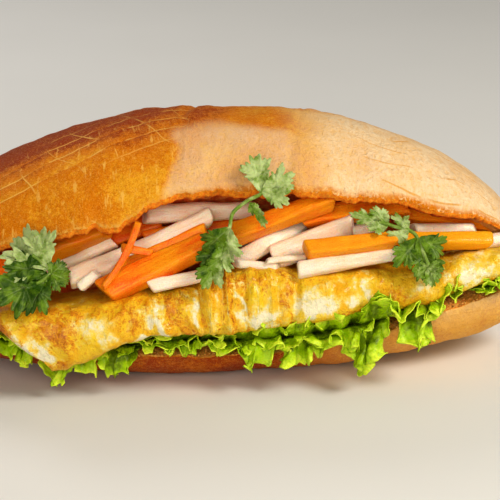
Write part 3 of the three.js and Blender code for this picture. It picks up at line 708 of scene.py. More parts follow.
def crust_values(crust, xs, angle, edges, spots):
    """How baked, pale and lined the crust is at each place, and where a painted sheen of back light lies;
    baked and pale hold some painted shade and light.
    """
    x, y, z = np.moveaxis(crust, -1, 0)
    ragged, across, torn = edges
    seen = angle / math.pi - 2
    patchy = fractal(crust, 20, 3, 51)
    left = fade(across, -34, 16)
    below = fade(z, 14, 40)
    behind = smoothstep(y, 6, 24)
    right_half = smoothstep(x, 25, 80)

    crest = smoothstep(seen + 0.04 * patchy, 0.26, 0.44) * fade(seen, 0.52, 0.68)
    bloom_top = smoothstep(across, -9, -6) * fade(across + ragged, 24, 30)
    bloom_top = bloom_top * fade(seen + 0.03 * patchy, 0.55, 0.62) * smoothstep(seen, 0.36, 0.44)
    # Partly painted shade and light: the crust is darker towards the left and lighter towards the right.
    # This is partly its own browning and partly how the key lamp falls from the right.
    bake = 0.20 + left * (0.16 + 0.74 * crest) + 0.12 * patchy + 0.17 * bloom_top
    bake = bake + 0.30 * spots - 0.16 * smoothstep(x, 40, 95)
    # Painted shade: the lower crust is darkened, most of all on the left, and a little lightened on the
    # right.
    bake = bake + below * (0.04 - 0.10 * right_half + 0.50 * left)
    hidden_bake = 0.34 + 0.26 * patchy + 0.20 * smoothstep(z, 26, 66)

    bloom = smoothstep(across + ragged * 2, -10, -6.5) * (1 - smoothstep(across, 26, 30) * 0.3)
    bloom = bloom * smoothstep(seen + 0.03 * patchy, 0.57, 0.62) * 0.58
    # Paler towards the right and less pale low down: partly the crust's own colour, partly painted light
    # from the key lamp on the right.
    right_side = smoothstep(x + 18 * patchy * behind, 16 - 44 * behind, 44 + 50 * behind)
    right_side = right_side * (1 - behind * 0.45) * (1 - below * 0.85)
    pale = np.maximum(bloom, right_side * 0.92) * (1 + 0.22 * fractal(crust, 9, 3, 61))

    sloped = seen + (x + 50) * 0.0016
    crackle = left * (1 - torn) * smoothstep(sloped, 0.50, 0.54) * fade(sloped, 0.69, 0.72)
    flaky = np.clip(left * 1.5, 0, 1) * smoothstep(seen, 0.5, 0.6) * smoothstep(z, 30, 44)
    # Painted sheen of back light, just past the crest, kept to the left of the roll.
    back_sheen = smoothstep(seen + 0.05 * patchy, 0.22, 0.40) * fade(seen, 0.39, 0.43)
    to_lip = np.linalg.norm(crust - crust[:, -1:], axis=-1)
    return {
        "along": xs,
        "round": angle * 34,
        "bake": np.clip(lerp(bake, hidden_bake, behind * 0.8), 0, 1),
        "pale": np.clip(pale, 0, 1),
        "crackle": crackle,
        "veined": smoothstep(x, 38, 58) * np.maximum(smoothstep(z, 22, 40), 0.7 * (1 - behind)),
        "flaky": flaky + 0.9 * below * right_half,
        "lip": fade(to_lip, 0.3, 1.8) * 0.9 * left,
        "toasted": fade(to_lip + 0.8 * ragged, 0.6, 3.4) * (1 - left * 0.8),
        "back_sheen": back_sheen * fade(x + 10 * patchy, -44, 0),
    }


def crumb_values(x):
    """How toasted the crumb in the slit is, and how much painted shade lies deep in it."""
    share = slit_share()
    upper = share < 0.5
    rim = np.where(upper, 0.65, 0.25) * fade(np.minimum(share, 1 - share), 0.06, 0.3)
    deep = np.where(upper, smoothstep(share, 0.05, 0.12), smoothstep(1 - share, 0.17, 0.30))
    return 0.35 + rim, deep * 0.9 * fade(np.abs(x), 74, 92)[:, None]


def ring_values(on_crust, in_slit, at_tips):
    """A value for each point of the roll: round each ring in turn, then at the two tips."""
    crust = np.broadcast_to(on_crust, (STATIONS, CRUST_POINTS))
    slit = np.broadcast_to(in_slit, (STATIONS, SLIT_POINTS))
    return np.append(np.concatenate([crust, slit], axis=1), [at_tips, at_tips])


def make_roll(crumb):
    x = roll_stations()
    angle, y, z = crust_section(x)
    xs = np.broadcast_to(x[:, None], angle.shape)
    edges = score_edges(xs, angle)
    crust, spots = raised_crust(roll_point(xs, y, z), angle, *edges)
    tips = [(side * ROLL_LENGTH / 2, 0, TIP_HEIGHT + 4) for side in (-1, 1)]
    points, faces = closed(np.concatenate([crust, slit_grid(x, y, z)], axis=1), *tips)
    on_crust = crust_values(crust, xs, angle, edges, spots)
    values = {name: ring_values(value, 0.0, 0.0) for name, value in on_crust.items()}
    values["bake"] = ring_values(on_crust["bake"], 0.4, 0.4)
    toast, slit_shade = crumb_values(x)
    values["toast"] = ring_values(1.0, toast, 1.0)
    values["slit_shade"] = ring_values(0.0, slit_shade, 0.0)
    roll = make_piece("roll", points, faces, values, crust_paint(), crumb)
    in_slit = np.arange(CRUST_POINTS + SLIT_POINTS) >= CRUST_POINTS - 1
    kinds = np.append(np.tile(in_slit, STATIONS - 1), np.zeros(2 * len(in_slit)))
    roll.data.polygons.foreach_set("material_index", kinds.astype(np.int32))
    dress(roll, "crust", "bread")


# ---- crumbs on the cut edges

# Spans of the lower lip, and how many crumbs lie on each.
CRUMB_SPANS = [(-32, 4, 70), (36, 98, 90), (4, 36, 20)]


def crumb_lump(centre, radius, rng):
    """A small lumpy crumb, as rings that are closed at both ends."""
    turn = np.linspace(0, TAU, 8, endpoint=False)[None, :]
    rise = np.linspace(-0.8, 0.8, 4)[:, None] * math.pi / 2
    size = radius * rng.uniform(0.75, 1.25, (4, 8))
    ring = stack(np.cos(turn) * np.cos(rise), np.sin(turn) * np.cos(rise), np.sin(rise)) * size[..., None]
    ring[..., 2] *= 0.8
    tip = np.array([0, 0, radius * 0.7])
    return capped(ring + centre, centre - tip, centre + tip, 2)


def make_crumbs(paint):
    rng = np.random.default_rng(8)
    lumps = []
    for x in np.concatenate([rng.uniform(*span) for span in CRUMB_SPANS]):
        inside = rng.uniform(0, 1) ** 2
        centre = lip_point(x) + np.array([0, 0.2 + inside * 3.5, 0.15 + inside * 0.9])
        lumps.append(crumb_lump(centre, rng.uniform(0.22, 0.55), rng))
    points, faces = joined(lumps)
    values = {"toast": np.full(len(points), 0.45), "slit_shade": np.zeros(len(points))}
    dress(make_piece("lip_crumbs", points, faces, values, paint), "crust")


# ---- the omelette

OMELETTE_FRONT = 6.6
OMELETTE_BACK = 0.6
OMELETTE_SPINE = [
    (-66, -33, 20),
    (-36, -33, 25),
    (0, -31.5, 28),
    (28, -30, 31),
    (57, -26, 32),
    (80, -20, 34.5),
    (102, -12, 37),
]

# Patches on its front: place along the roll, height from -1 to 1, half length, half height, slant, strength.
BROWNED = [
    (-52.5, 0.25, 8.5, 0.55, 0, 0.85),
    (-66.5, -0.35, 2.2, 0.5, 0, 1.0),
    (-60, -0.85, 5, 0.2, 0, 1.0),
    (-44, 0.8, 14, 0.25, 0, 0.6),
    (-30, 0.25, 4.2, 0.6, 0, 0.6),
    (-18, 0.35, 4.0, 0.6, -3, 0.75),
    (-13, -0.4, 2.0, 0.5, -3, 0.6),
    (-6, 0.95, 20, 0.3, 0, 0.8),
    (-8, -0.95, 17, 0.25, 0, 0.7),
    (1, -0.1, 1.5, 0.6, 0, 0.6),
    (19.5, 0.4, 2.2, 0.7, 0.6, 0.95),
    (22.3, -0.55, 0.9, 0.4, 0, 0.8),
    (40.5, -0.75, 5, 0.3, 0, 0.85),
    (30, 0.9, 8, 0.2, 0, 0.4),
    (56.5, -0.1, 6.5, 0.8, 0, 0.35),
    (73, 0.7, 5, 0.3, 0, 0.6),
    (70.5, -0.8, 4, 0.25, 0, 0.7),
]
WHITE = [
    (-69.5, 0.1, 4.6, 0.45, 0, 1.7),
    (-60.5, -0.34, 3.3, 0.34, 0, 1.7),
    (-41, 0.0, 4.5, 0.8, -2, 0.75),
    (-22.3, -0.1, 1.9, 0.75, -4, 1.4),
    (-27, -0.75, 6, 0.25, 0, 0.9),
    (-10, 0.1, 1.2, 0.8, -2, 0.7),
    (-4, 0.2, 1.2, 0.7, 0, 0.7),
    (4.6, 0.3, 1.2, 0.6, 0, 0.8),
    (12.5, -0.35, 6, 0.6, 0, 1.0),
    (30, -0.1, 7.5, 0.7, 0, 1.15),
    (42, 0.25, 1.6, 0.55, 0, 0.9),
    (47, 0.3, 2.0, 0.5, 0, 0.9),
    (65, 0.3, 3, 0.6, 0, 0.8),
    (82, 0.15, 9, 1.0, 0, 0.95),
]
YOLK = [
    (11.5, 0.45, 4.5, 0.5, 0, 0.7),
    (34, 0.45, 1.5, 0.3, 0, 0.7),
    (-42, -0.2, 5, 0.45, 0, 0.6),
    (24, -0.5, 3, 0.3, 0, 0.6),
    (70, -0.3, 3, 0.3, 0, 0.6),
]

# Folds across its front: place along the roll, slant, half width, and how far each is pushed out.
OMELETTE_FOLDS = [
    (31, 0, 7, 1.1),
    (22.3, 0.6, 1.3, -1.7),
    (-21.5, -4, 1.7, 0.9),
    (-18.0, -4, 1.6, -0.9),
    (52, 0, 6, -1.0),
    (66, 0, 7, 0.8),
]
OMELETTE_STATIONS = 430
OMELETTE_AROUND = 150
OMELETTE_CAPS = 8
PLEAT_PITCH = 0.95


def patches(table, x, up):
    total = np.zeros(np.broadcast(x, up).shape)
    for place, height, half_length, half_height, slant, strength in table:
        along = (x - place - slant * up) / half_length
        total += strength * np.exp(-(along**2) - ((up - height) / half_height) ** 2)
    return total


def omelette_height(x):
    thick = lerp(9.5, 7.5, smoothstep(x, -60, -35))
    return thick + bell(x, -2, 26) * 2.4 - smoothstep(x, 20, 95) * 3


def omelette_lift(x, up, closing):
    """How far the underside is drawn up and the top pushed up, in the middle of the roll."""
    drawn = 4.6 * bell(x, -14, 22) + 1.5 * bell(x, 30, 20)
    pushed = 3.4 * bell(x, 8, 15)
    return drawn * np.clip(-up, 0, 1) * closing + pushed * np.clip(up, 0, 1) * closing


def omelette_pleats(x, up):
    """Where in its pleat each place is, and how far it stands out of it, from -1 to 1."""
    phase = x * PLEAT_PITCH + up * (0.8 + bell(x, -14, 8) * 2.6) + wander(x * 0.33, 12) * 1.5
    pleat = 1 - 2 * np.abs(np.sin(phase / 2 - math.pi / 4)) ** 0.8
    return phase, pleat * (0.75 + 0.4 * wander(x * 0.5 + up, 14))


def omelette_bulge(x, up, angle, pleat, front):
    pleats = bell(x, -3, 17) * 1.15 * smoothstep(up, -1.15, -0.4)
    bulge = wander(x * 0.17 + angle, 3) * 0.8 + pleat * pleats
    for place, slant, half_width, push in OMELETTE_FOLDS:
        bulge = bulge + push * bell(x - place - slant * up, 0, half_width) * front
    return bulge


def omelette_values(rings, x, up, t, angle, phase, pleat, front):
    """How browned, white, yellow and creased the omelette is, each with the value that its ends have;
    browned holds painted shade in the pleats' grooves, and white a painted highlight on their ridges.
    """
    ragged_x = x + fractal(rings, 4.5, 3, 61) * 2.2
    ragged_up = up + fractal(rings, 4.5, 3, 65) * 0.28
    pleated = bell(x, -3, 17)
    brown = patches(BROWNED, ragged_x, ragged_up) * front**0.3
    brown = np.maximum(brown, 1.1 * fade(t + 0.004 * fractal(rings, 3, 2, 67), 0.0, 0.022))
    # Painted shade: brown deepens in the grooves between the pleats.
    brown = brown + 0.35 * pleated * np.clip(-pleat, 0, 1) * front
    # Painted highlight: a cream streak along each pleat's ridge.
    white = 0.55 * pleated * np.clip(pleat, 0, 1) * front * smoothstep(-np.abs(up - 0.1), -0.8, -0.2)
    return {
        "brown": (brown, 0.3),
        "white": (patches(WHITE, ragged_x, ragged_up) + white, 0.6),
        "yolk": (np.clip(patches(YOLK, ragged_x, ragged_up), 0, 1), 0.0),
        "along": (phase / PLEAT_PITCH, 0.0),
        "round": (angle * 9, 0.0),
        "creased": (0.35 + 0.65 * bell(x, -2, 20), 0.4),
    }


def make_omelette():
    t = np.linspace(0, 1, OMELETTE_STATIONS)
    centre = curve_points(OMELETTE_SPINE, t)[:, None, :]
    t = t[:, None]
    x = centre[..., 0]
    angle = np.linspace(0, TAU, OMELETTE_AROUND, endpoint=False)[None, :]
    up = signed_power(np.sin(angle), 0.8)
    out = signed_power(np.cos(angle), 0.8)
    front, inside = np.clip(-out, 0, 1), np.maximum(0, out)
    closing = np.sqrt(np.clip(np.minimum(t / 0.02 + 0.55, (1 - t) / 0.05 + 0.3), 0, 1))
    phase, pleat = omelette_pleats(x, up)
    bulge = omelette_bulge(x, up, angle, pleat, front)
    height = (omelette_height(x) + bulge) * closing * lerp(1, OMELETTE_BACK, inside)
    back = (SLIT_BACK * roll_taper(x) - 1 - centre[..., 1]) * (0.4 + 0.6 * closing)
    depth = np.where(out > 0, back, (OMELETTE_FRONT + bulge) * closing)
    slant = fade(x, -66, -30) * OMELETTE_SLANT
    rings = stack(x - slant * up, centre[..., 1] + out * depth + up * 1.5,
                  centre[..., 2] + up * height + omelette_lift(x, up, closing))
    fields = omelette_values(rings, x, up, t, angle, phase, pleat, front)
    crisp = np.clip(fields["brown"][0], 0, 1)
    relief = fractal(rings, 8, 3, 71) * 0.6 + fractal(rings, 1.7, 2, 75) * (0.10 + 0.16 * crisp)
    relief = relief * smoothstep(np.minimum(t, 1 - t), 0, 0.004)
    normal = grid_normals(rings, True)
    outward = np.sign(np.sum(normal * (rings - centre), axis=-1).mean())
    rings = rings + normal * (outward * relief)[..., None]
    points, faces = capped(rings, centre[0, 0] - [0.8, 0, 0], centre[-1, 0] + [1.2, 0, 0], OMELETTE_CAPS)
    values = {}
    for name, (field, fill) in fields.items():
        end = np.full((OMELETTE_CAPS - 1) * OMELETTE_AROUND, fill)
        field = np.broadcast_to(field, rings.shape[:2])
        values[name] = np.concatenate([end, field, end, [fill, fill]], axis=None)
    dress(make_piece("omelette_roll", points, faces, values, egg_paint()), "egg", "omelette")


# ---- the sticks

BED_LEAN = math.radians(62)
BED_FRONT = 28.0
BED_HEIGHT = 38.0
STICK_KNOTS = 13
STICK_STEP = 0.5

# kind, place along the roll, place up the bank, layer, length, width, thickness, turn, roll, taper, bow
STICKS = [
    ("carrot", 40.4, 8.1, 6, 29, 5.6, 6, 3, -22, 0.9, 0),
    ("carrot", -33, 7, 9, 24, 2.4, 2.2, -118, 0, 0.9, 1.2),
    ("carrot", -22.5, 3.4, 3.5, 36, 8.5, 7.5, 24.5, -20, 0.9, 0),
    ("radish", 40, 3, 4.5, 34, 5.8, 6.5, 6, 0, 0.75, 0),
    ("radish", -15.5, -1, 4.5, 18, 4.6, 4, 11, 0, 0.9, 0),
    ("radish", 20, 5, 4, 13, 2.2, 3, 3, 0, 0.9, 0),
    ("carrot", -28, 9, 5, 10, 3.4, 1.8, -10, 0, 0.6, 0),
    ("carrot", 20, 19.2, 0, 34, 6.8, 7, 17, -28, 0.9, 0),
    ("carrot", 72, 7.8, 0, 37, 5.2, 6, -5.5, -24, 0.9, 0),
    ("radish", 30, 10.8, -1.5, 29, 8.8, 6, 18, 8, 0.9, 0),
    ("radish", 10.5, 3.5, 2.5, 14, 3, 4, -8, 0, 0.9, 0),
    ("radish", 16, 12, -3, 26, 6.6, 6, 30, -10, 0.9, 0),
    ("carrot", -20, 10, 0.5, 31, 4.2, 4, 24, 0, 0.9, 0),
    ("radish", -27.4, 11, -3, 50, 6.8, 6.4, 24, -14, 0.9, -1),
    ("radish", -43.5, -0.4, 3, 7, 3.8, 4, 40, 0, 0.8, 0),
    ("carrot", 46, 20.4, -3, 34, 7, 6, 1.5, -15, 0.9, 0),
    ("radish", 11, 14.5, -8, 15, 4, 5, 18, 0, 0.9, 0),
    ("radish", 44, 14.2, -8, 22, 5.6, 5, 12, 0, 0.9, 0),
    ("radish", 77, 11.9, -5, 22, 4.4, 5, -7, 0, 0.9, 0),
    ("carrot", 79, 16, -6, 37, 7.4, 6, -17, -12, 0.5, 0),
    ("carrot", -50, 13.4, -5.5, 24, 7.2, 7, 23, -25, 0.9, 0),
    ("radish", -46.5, 9.8, -9.5, 21, 5.2, 4.4, 23, 0, 0.9, 0),
    ("radish", -6.5, 23, -6.5, 37, 6.6, 5.4, 1, 12, 0.9, 0),
    ("carrot", -31, 18, -11, 21, 7.4, 4, 18, 0, 0.9, 0),
    ("carrot", -8.5, 17.5, -11, 32, 7.4, 4.6, 11, 0, 0.9, 0),
    ("carrot", -72, 5, -7, 22, 5.6, 5.4, 24, -15, 0.9, 0),
    ("radish", -68, 0, -10, 26, 5.5, 5.5, 15, 0, 0.9, 0),
    ("carrot", -87, 4, -8, 17, 5, 5, 14, -20, 0.9, 0),
    ("radish", -88, -3, -7, 19, 5, 5, 10, 10, 0.9, 0),
    ("radish", 95, 5.6, -2, 12, 4.6, 4.6, -2, 0, 0.9, 0),
]

# How golden some of the sticks are, by their place in the list: partly their own colour, partly painted
# light on sticks meant to look lit; the rest vary between -1 and 1.
LIT_GOLDEN_STICKS = {0: 1.35, 8: 1.6, 7: 0.5, 20: 1.2}

STICK_AROUND = 38
STICK_CAPS = 7
CUT_SQUARENESS = {"carrot": 5.0, "radish": 3.0}

# Of sticks that cross: how far each reaches for its size, and the shares of an overlap by which the
# one in front and the one behind give way in a round.
STICK_REACH = 0.43
STICK_YIELDS = (0.16, 0.30)
SETTLE_ROUNDS = 90


def bank_frame(along):
    """Axes along the bank, up it and out of it, and its point at a place along the roll."""
    taper = max(float(roll_taper(along)), 0.3)
    slope = BED_FRONT * along / (ROLL_LENGTH / 2) ** 2 / taper
    right = unit([1, slope, 0])
    out = unit([slope, -1, 0])
    upward = np.array([0, 0, math.sin(BED_LEAN)]) - out * math.cos(BED_LEAN)
    origin = np.array([along, -BED_FRONT * float(roll_taper(along)), BED_HEIGHT])
    return right, upward, np.cross(right, upward), origin


def place_stick(stick):
    """A stick's knots along its middle, and the directions of its width and of the bank's face."""
    _, along, up, layer, length, _, _, turn, roll, _, bow = stick
    right, upward, normal, origin = bank_frame(along)
    turn, roll = math.radians(turn), math.radians(roll)
    axis = right * math.cos(turn) + upward * math.sin(turn)
    across = upward * math.cos(turn) - right * math.sin(turn)
    width_way = across * math.cos(roll) + normal * math.sin(roll)
    share = np.linspace(-0.5, 0.5, STICK_KNOTS)[:, None]
    centre = origin + upward * up + normal * layer
    knots = centre + axis * share * length + width_way * (1 - 4 * share**2) * bow
    return knots, width_way, normal


def settle(knots, normals, radii):
    """Bends crossing sticks round each other, towards and away from the bank, for a set number of rounds."""
    share = np.linspace(-1, 1, STICK_KNOTS)
    basis = np.stack([np.ones(STICK_KNOTS), share, share**2], axis=1)
    stiff = basis @ np.linalg.pinv(basis)
    moved = np.zeros((len(knots), STICK_KNOTS))
    for _ in range(SETTLE_ROUNDS):
        now = [k + m[:, None] * n for k, m, n in zip(knots, moved, normals)]
        push = np.zeros_like(moved)
        for i, j in itertools.combinations(range(len(knots)), 2):
            reach = radii[i] + radii[j]
            gap = now[i][:, None] - now[j][None, :]
            apart = np.linalg.norm(gap, axis=-1)
            if apart.min() > reach:
                continue
            depth = gap @ normals[i]
            level = np.sqrt(np.maximum(apart**2 - depth**2, 0))
            wanted = np.sqrt(np.maximum(reach**2 - level**2, 0))
            front = 1 if depth.flat[apart.argmin()] >= 0 else -1
            first, second = STICK_YIELDS if front > 0 else STICK_YIELDS[::-1]
            short = np.maximum(wanted - depth * front, 0) * (level < reach)
            push[i] += front * short.max(axis=1) * first
            push[j] -= front * short.max(axis=0) * second
        moved = (moved + push) @ stiff.T
    return [k + m[:, None] * n for k, m, n in zip(knots, moved, normals)]


def turned(a, b, angle):
    """Two directions, turned by an angle in their plane."""
    cos, sin = np.cos(angle)[:, None], np.sin(angle)[:, None]
    return a * cos + b * sin, b * cos - a * sin


def stick_surface(knots, width_way, width, thick, taper, square, seed):
    """Points and faces of one cut stick, with its own coordinates along the fibres."""
    length = np.linalg.norm(np.diff(knots, axis=0), axis=1).sum()
    t = np.linspace(0, 1, int(length / STICK_STEP) + 8)
    middle = curve_points(knots, t)
    ahead = unit(np.gradient(middle, axis=0))
    side = unit(width_way - ahead * (ahead @ width_way)[:, None])
    rng = np.random.default_rng(seed)
    twist = math.radians(rng.uniform(-9, 9)) * (2 * t - 1)
    twist = twist + math.radians(5) * np.sin(t * 5 + rng.uniform(0, 6))
    side, over = turned(side, np.cross(ahead, side), twist)
    angle = np.linspace(0, TAU, STICK_AROUND, endpoint=False)[None, :]
    wide = signed_power(np.cos(angle), 2 / square) * width / 2
    deep = signed_power(np.sin(angle), 2 / square) * thick / 2
    narrow = lerp(1, taper, t)[:, None]
    line = stack(t * length / 9, t * 0, t * 0)
    from_end = np.minimum(t, 1 - t)[:, None] * length
    bevel = 1 - 0.16 * np.clip(1 - from_end / 0.9, 0, 1) ** 2
    wide = wide * narrow * (1 + 0.07 * noise(line + seed, 1.0, seed))[:, None] * bevel
    deep = deep * narrow * (1 + 0.07 * noise(line + seed + 40, 1.0, seed + 1))[:, None] * bevel
    cuts = rng.uniform(-0.5, 0.5, 4)
    leading = smoothstep(t, 0.75, 1)[:, None] * (wide * cuts[0] + deep * cuts[1])
    trailing = smoothstep(-t, -0.25, 0)[:, None] * (wide * cuts[2] + deep * cuts[3])
    slip = leading + trailing
    points = middle[:, None] + side[:, None] * wide[..., None] + over[:, None] * deep[..., None]
    points = points + ahead[:, None] * slip[..., None]
    fibre = stack(t[:, None] * length + slip, wide, deep) + seed * 31.0
    ridges = noise(fibre / np.array([9.0, 0.8, 0.8]), 1.0, seed) * 0.12
    lumps = fractal(points, 4.5, 2, seed) * 0.14
    points = points + unit(points - middle[:, None]) * (ridges + lumps)[..., None]
    solid, faces = capped(points, points[0].mean(axis=0), points[-1].mean(axis=0), STICK_CAPS)
    ends = [np.repeat(ring[None], STICK_CAPS - 1, axis=0) for ring in (fibre[0], fibre[-1])]
    fibre = np.concatenate([ends[0], fibre, ends[1]]).reshape(-1, 3)
    return solid, faces, np.concatenate([fibre, fibre[:1], fibre[-1:]])


def make_sticks(paints):
    placed = [place_stick(stick) for stick in STICKS]
    radii = [STICK_REACH * math.sqrt(stick[5] * stick[6]) for stick in STICKS]
    settled = settle([p[0] for p in placed], [p[2] for p in placed], radii)
    counts = dict.fromkeys(paints, 0)
    for index, (stick, knots, (_, width_way, _)) in enumerate(zip(STICKS, settled, placed)):
        kind, _, _, _, _, width, thick, _, _, taper, _ = stick
        counts[kind] += 1
        name = f"{kind}_stick_{counts[kind]:02d}"
        square = CUT_SQUARENESS[kind]
        points, faces, fibre = stick_surface(knots, width_way, width, thick, taper, square, index + 1)
        tone = LIT_GOLDEN_STICKS.get(index, lattice(np.array([index, 1, 2]), 5))
        values = {"fibre": fibre, "tone": np.full(len(points), tone)}
        dress(make_piece(f"{name}_cut", points, faces, values, paints[kind]), kind, name)


# ---- the lettuce

TUCK = 9.0
LEAF_CLEARANCE = 3.0
LIP_BEND = 3.2
SHEET = 0.32
SHEET_ROWS = 46
SHEET_STEP = 0.34

# A lobe is (place along the roll, length, half width, angle below the horizontal in degrees).
# Each leaf has its main fold, then folds above it: how far each is lifted, and its own lobes.
LETTUCE_LEAVES = [
    dict(x0=-86, x1=-26, swell=0.8, seed=1, raised=-1.5, lobes=[
        (-81, 2.5, 5, 40), (-71, 3, 4, 45), (-64.5, 5, 3, 60), (-54.5, 10.5, 4.5, 74), (-45.5, 8, 3.5, 78),
        (-36, 8.5, 4.5, 84), (-29, 3, 3, 60),
    ], folds=[
        (1.6, [(-66, 2, 4, 30), (-50, 5, 4, 66), (-39, 4, 4, 60), (-30, 2, 3, 30)]),
    ]),
    dict(x0=-34, x1=60, swell=1.2, seed=2, raised=2, lobes=[
        (-24, 1.5, 4, 20), (-13, 3, 4, 50), (-2, 2.5, 4, 45), (9.5, 9, 5.5, 74), (24, 9.5, 6, 68),
        (35, 6, 4.5, 60), (45.5, 15, 6.5, 68),
    ], folds=[
        (1.6, [(-26, 2.5, 4, 10), (-16, 3, 4, 25), (-5, 3, 4, 20), (6, 5, 4, 50), (19, 6.5, 5, 50),
               (31, 7, 5, 52), (42, 9, 5, 58)]),
        (3.8, [(-20, 2, 5, -15), (-8, 2.5, 5, -25), (3, 3, 4, -30), (14, 5, 5, -50), (25, 7, 5, -60),
               (36, 7, 5, -60), (48, 7.5, 5, -60)]),
    ]),
    dict(x0=42, x1=84, swell=1.2, seed=4, raised=5, lobes=[
        (49, 11, 5, -66), (57, 2, 3, 40), (63.5, 15.5, 5.5, 68), (77, 4, 4, 10),
    ], folds=[
        (1.6, [(46, 8, 4, -50), (56, 7, 4, 10), (66, 9, 5, 50), (75, 4, 4, -20)]),
    ]),
    dict(x0=80, x1=104, swell=0.9, seed=5, raised=1.5, lobes=[
        (86, 4, 3.5, 25), (95, 4.5, 4, 10),
    ], folds=[
        (1.4, [(84, 3, 4, -15), (92, 4, 4, -25)]),
    ]),
]


def lobe_pull(lobes, x):
    """How far a leaf reaches past its tuck at each place, and the angle it falls at."""
    length = np.full_like(x, 2.5)
    angle = np.zeros_like(x)
    total = np.full_like(x, 0.15)
    for place, reach, half_width, fall in lobes:
        weight = np.exp(-(((x - place) / half_width) ** 4))
        length += reach * weight
        angle += fall * weight
        total += weight
    return length, np.radians(angle / total)


def lettuce_grid(leaf, x, outward):
    """A leaf's points: flat on the lip, round a bend, then straight, with frills across it."""
    seed, swell = leaf["seed"], leaf["swell"]
    lip = lip_point(x)
    length, angle = lobe_pull(leaf["lobes"], x)
    travelled = outward * (TUCK + length)
    past = np.maximum(0, travelled - TUCK)
    turned_by = np.minimum(past / LIP_BEND, np.abs(angle)) * np.sign(angle)
    straight = np.maximum(0, past - LIP_BEND * np.abs(angle))
    bend_out = LIP_BEND * np.abs(np.sin(turned_by))
    bend_down = LIP_BEND * (1 - np.cos(turned_by)) * np.sign(angle)
    reach_out = np.minimum(travelled, TUCK) - TUCK + bend_out + straight * np.cos(turned_by)
    fall = bend_down + straight * np.sin(turned_by)
    share = np.clip(past / FRILL_GROWTH, 0, 1)
    wave = np.sin(x * 0.85 + wander(x * 0.12, seed) * 2.2 + seed)
    crimp = np.sin(x * 1.9 + outward * 4 + seed * 2)
    frill = wave * swell * (0.25 + share) + crimp * 0.5 * share * swell
    sway = np.sin(x * 0.5 + outward * 5 + seed) * 1.1 * share
    return stack(
        x + sway,
        lip[..., 1] - reach_out - frill * np.sin(np.abs(turned_by)),
        lip[..., 2] + LEAF_CLEARANCE + leaf["raised"] * outward - fall + frill * np.cos(turned_by) * 0.8,
    )


def sheet_faces(rows, columns):
    """Both faces and the rim of a sheet whose points are stored side by side, front face first."""
    front = grid_faces(rows, columns, False)
    size = rows * columns
    last_row = size - columns
    rim = list(range(columns - 1))
    rim += range(columns - 1, size - 1, columns)
    rim += range(size - 1, last_row, -1)
    rim += range(last_row, 0, -columns)
    sides = [(b, a, a + size, b + size) for a, b in zip(rim, rim[1:] + rim[:1])]
    return front.tolist() + (front[:, ::-1] + size).tolist() + sides


def ruffle(grid, outward, length, swell, seed):
    """Pulls a sheet about in soft folds that grow and tighten towards its edge."""
    flat = stack(grid[..., 0], outward * length, 0)
    margin = smoothstep(outward, 0.35, 1.0)
    edge = smoothstep(outward, 0.72, 1.0)
    for axis, pull in enumerate((1.5, 1.8, 2.0)):
        wide = noise(flat / np.array([1.0, 1.5, 1.0]), 3.4, seed * 10 + axis)
        tight = noise(flat / np.array([1.0, 1.2, 1.0]), 1.5, seed * 10 + axis + 5)
        grid[..., axis] += swell * (wide * pull * margin + tight * 0.8 * edge)
    return grid


def frilled_sheet(leaf, lobes, lift, seed):
    """Points, faces, lightness and vein values of one frilled fold of a leaf; the lightness holds painted
    light and shade.
    """
    x0, x1, swell = leaf["x0"], leaf["x1"], leaf["swell"]
    columns = int((x1 - x0) / SHEET_STEP)
    x = np.linspace(x0, x1, columns)[None, :]
    v = np.linspace(0, 1, SHEET_ROWS)[:, None]
    end = smoothstep(np.minimum(x - x0, x1 - x), -2.25, 6.75)
    place = stack(x, x * 0, x * 0)
    teeth = 1 - 0.10 * np.abs(noise(place, 1.9, 81 + seed)) - 0.12 * np.abs(noise(place, 0.8, 82 + seed))
    outward = lerp(LEAF_START, LEAF_START + (1 - LEAF_START) * end * teeth, v)
    x = np.broadcast_to(x, outward.shape)
    grid = lettuce_grid(dict(leaf, lobes=lobes, seed=seed), x, outward)
    grid[..., 2] += lift * smoothstep(outward, 0.3, 0.8)
    length = TUCK + lobe_pull(lobes, x)[0]
    phase = x * TAU / 6.4 + wander(x * 0.2, seed + 3) * 2.2 + outward * 2.4
    margin = smoothstep(outward, 0.45, 1.0)
    grid = grid + grid_normals(grid, False) * (margin * swell * np.sin(phase) * 1.5)[..., None]
    grid[..., 0] += margin * np.sin(phase * 2) * 1.2
    grid = ruffle(grid, outward, length, swell, seed)
    half = grid_normals(grid, False) * SHEET / 2
    points = np.concatenate([(grid + half).reshape(-1, 3), (grid - half).reshape(-1, 3)])
    puckers = fractal(stack(x, outward * length, 0), 3.0, 2, 91)
    # Painted light and shade, with the leaf's own tone: darker in towards the tuck and on the leaf at the
    # left end, lighter out on the frills and along the rim, lighter on one side of each fold; the puckers
    # are the leaf's own tone.
    light = 0.09 - 0.11 * (x1 < 0) + 0.66 * smoothstep(outward, 0.5, 0.95) + 0.10 * smoothstep(v, 0.9, 1.0)
    light = light + 0.22 * puckers + 0.10 * np.sin(phase)
    vein_phase = x * TAU / 7.5 + wander(x * 0.2, seed + 9) * 2 + np.sin(outward * 5) * 0.6
    vein = bell(np.sin(vein_phase), 0, 0.16) * (1 - margin * 0.7)
    return points, sheet_faces(SHEET_ROWS, columns), np.tile(light.ravel(), 2), np.tile(vein.ravel(), 2)


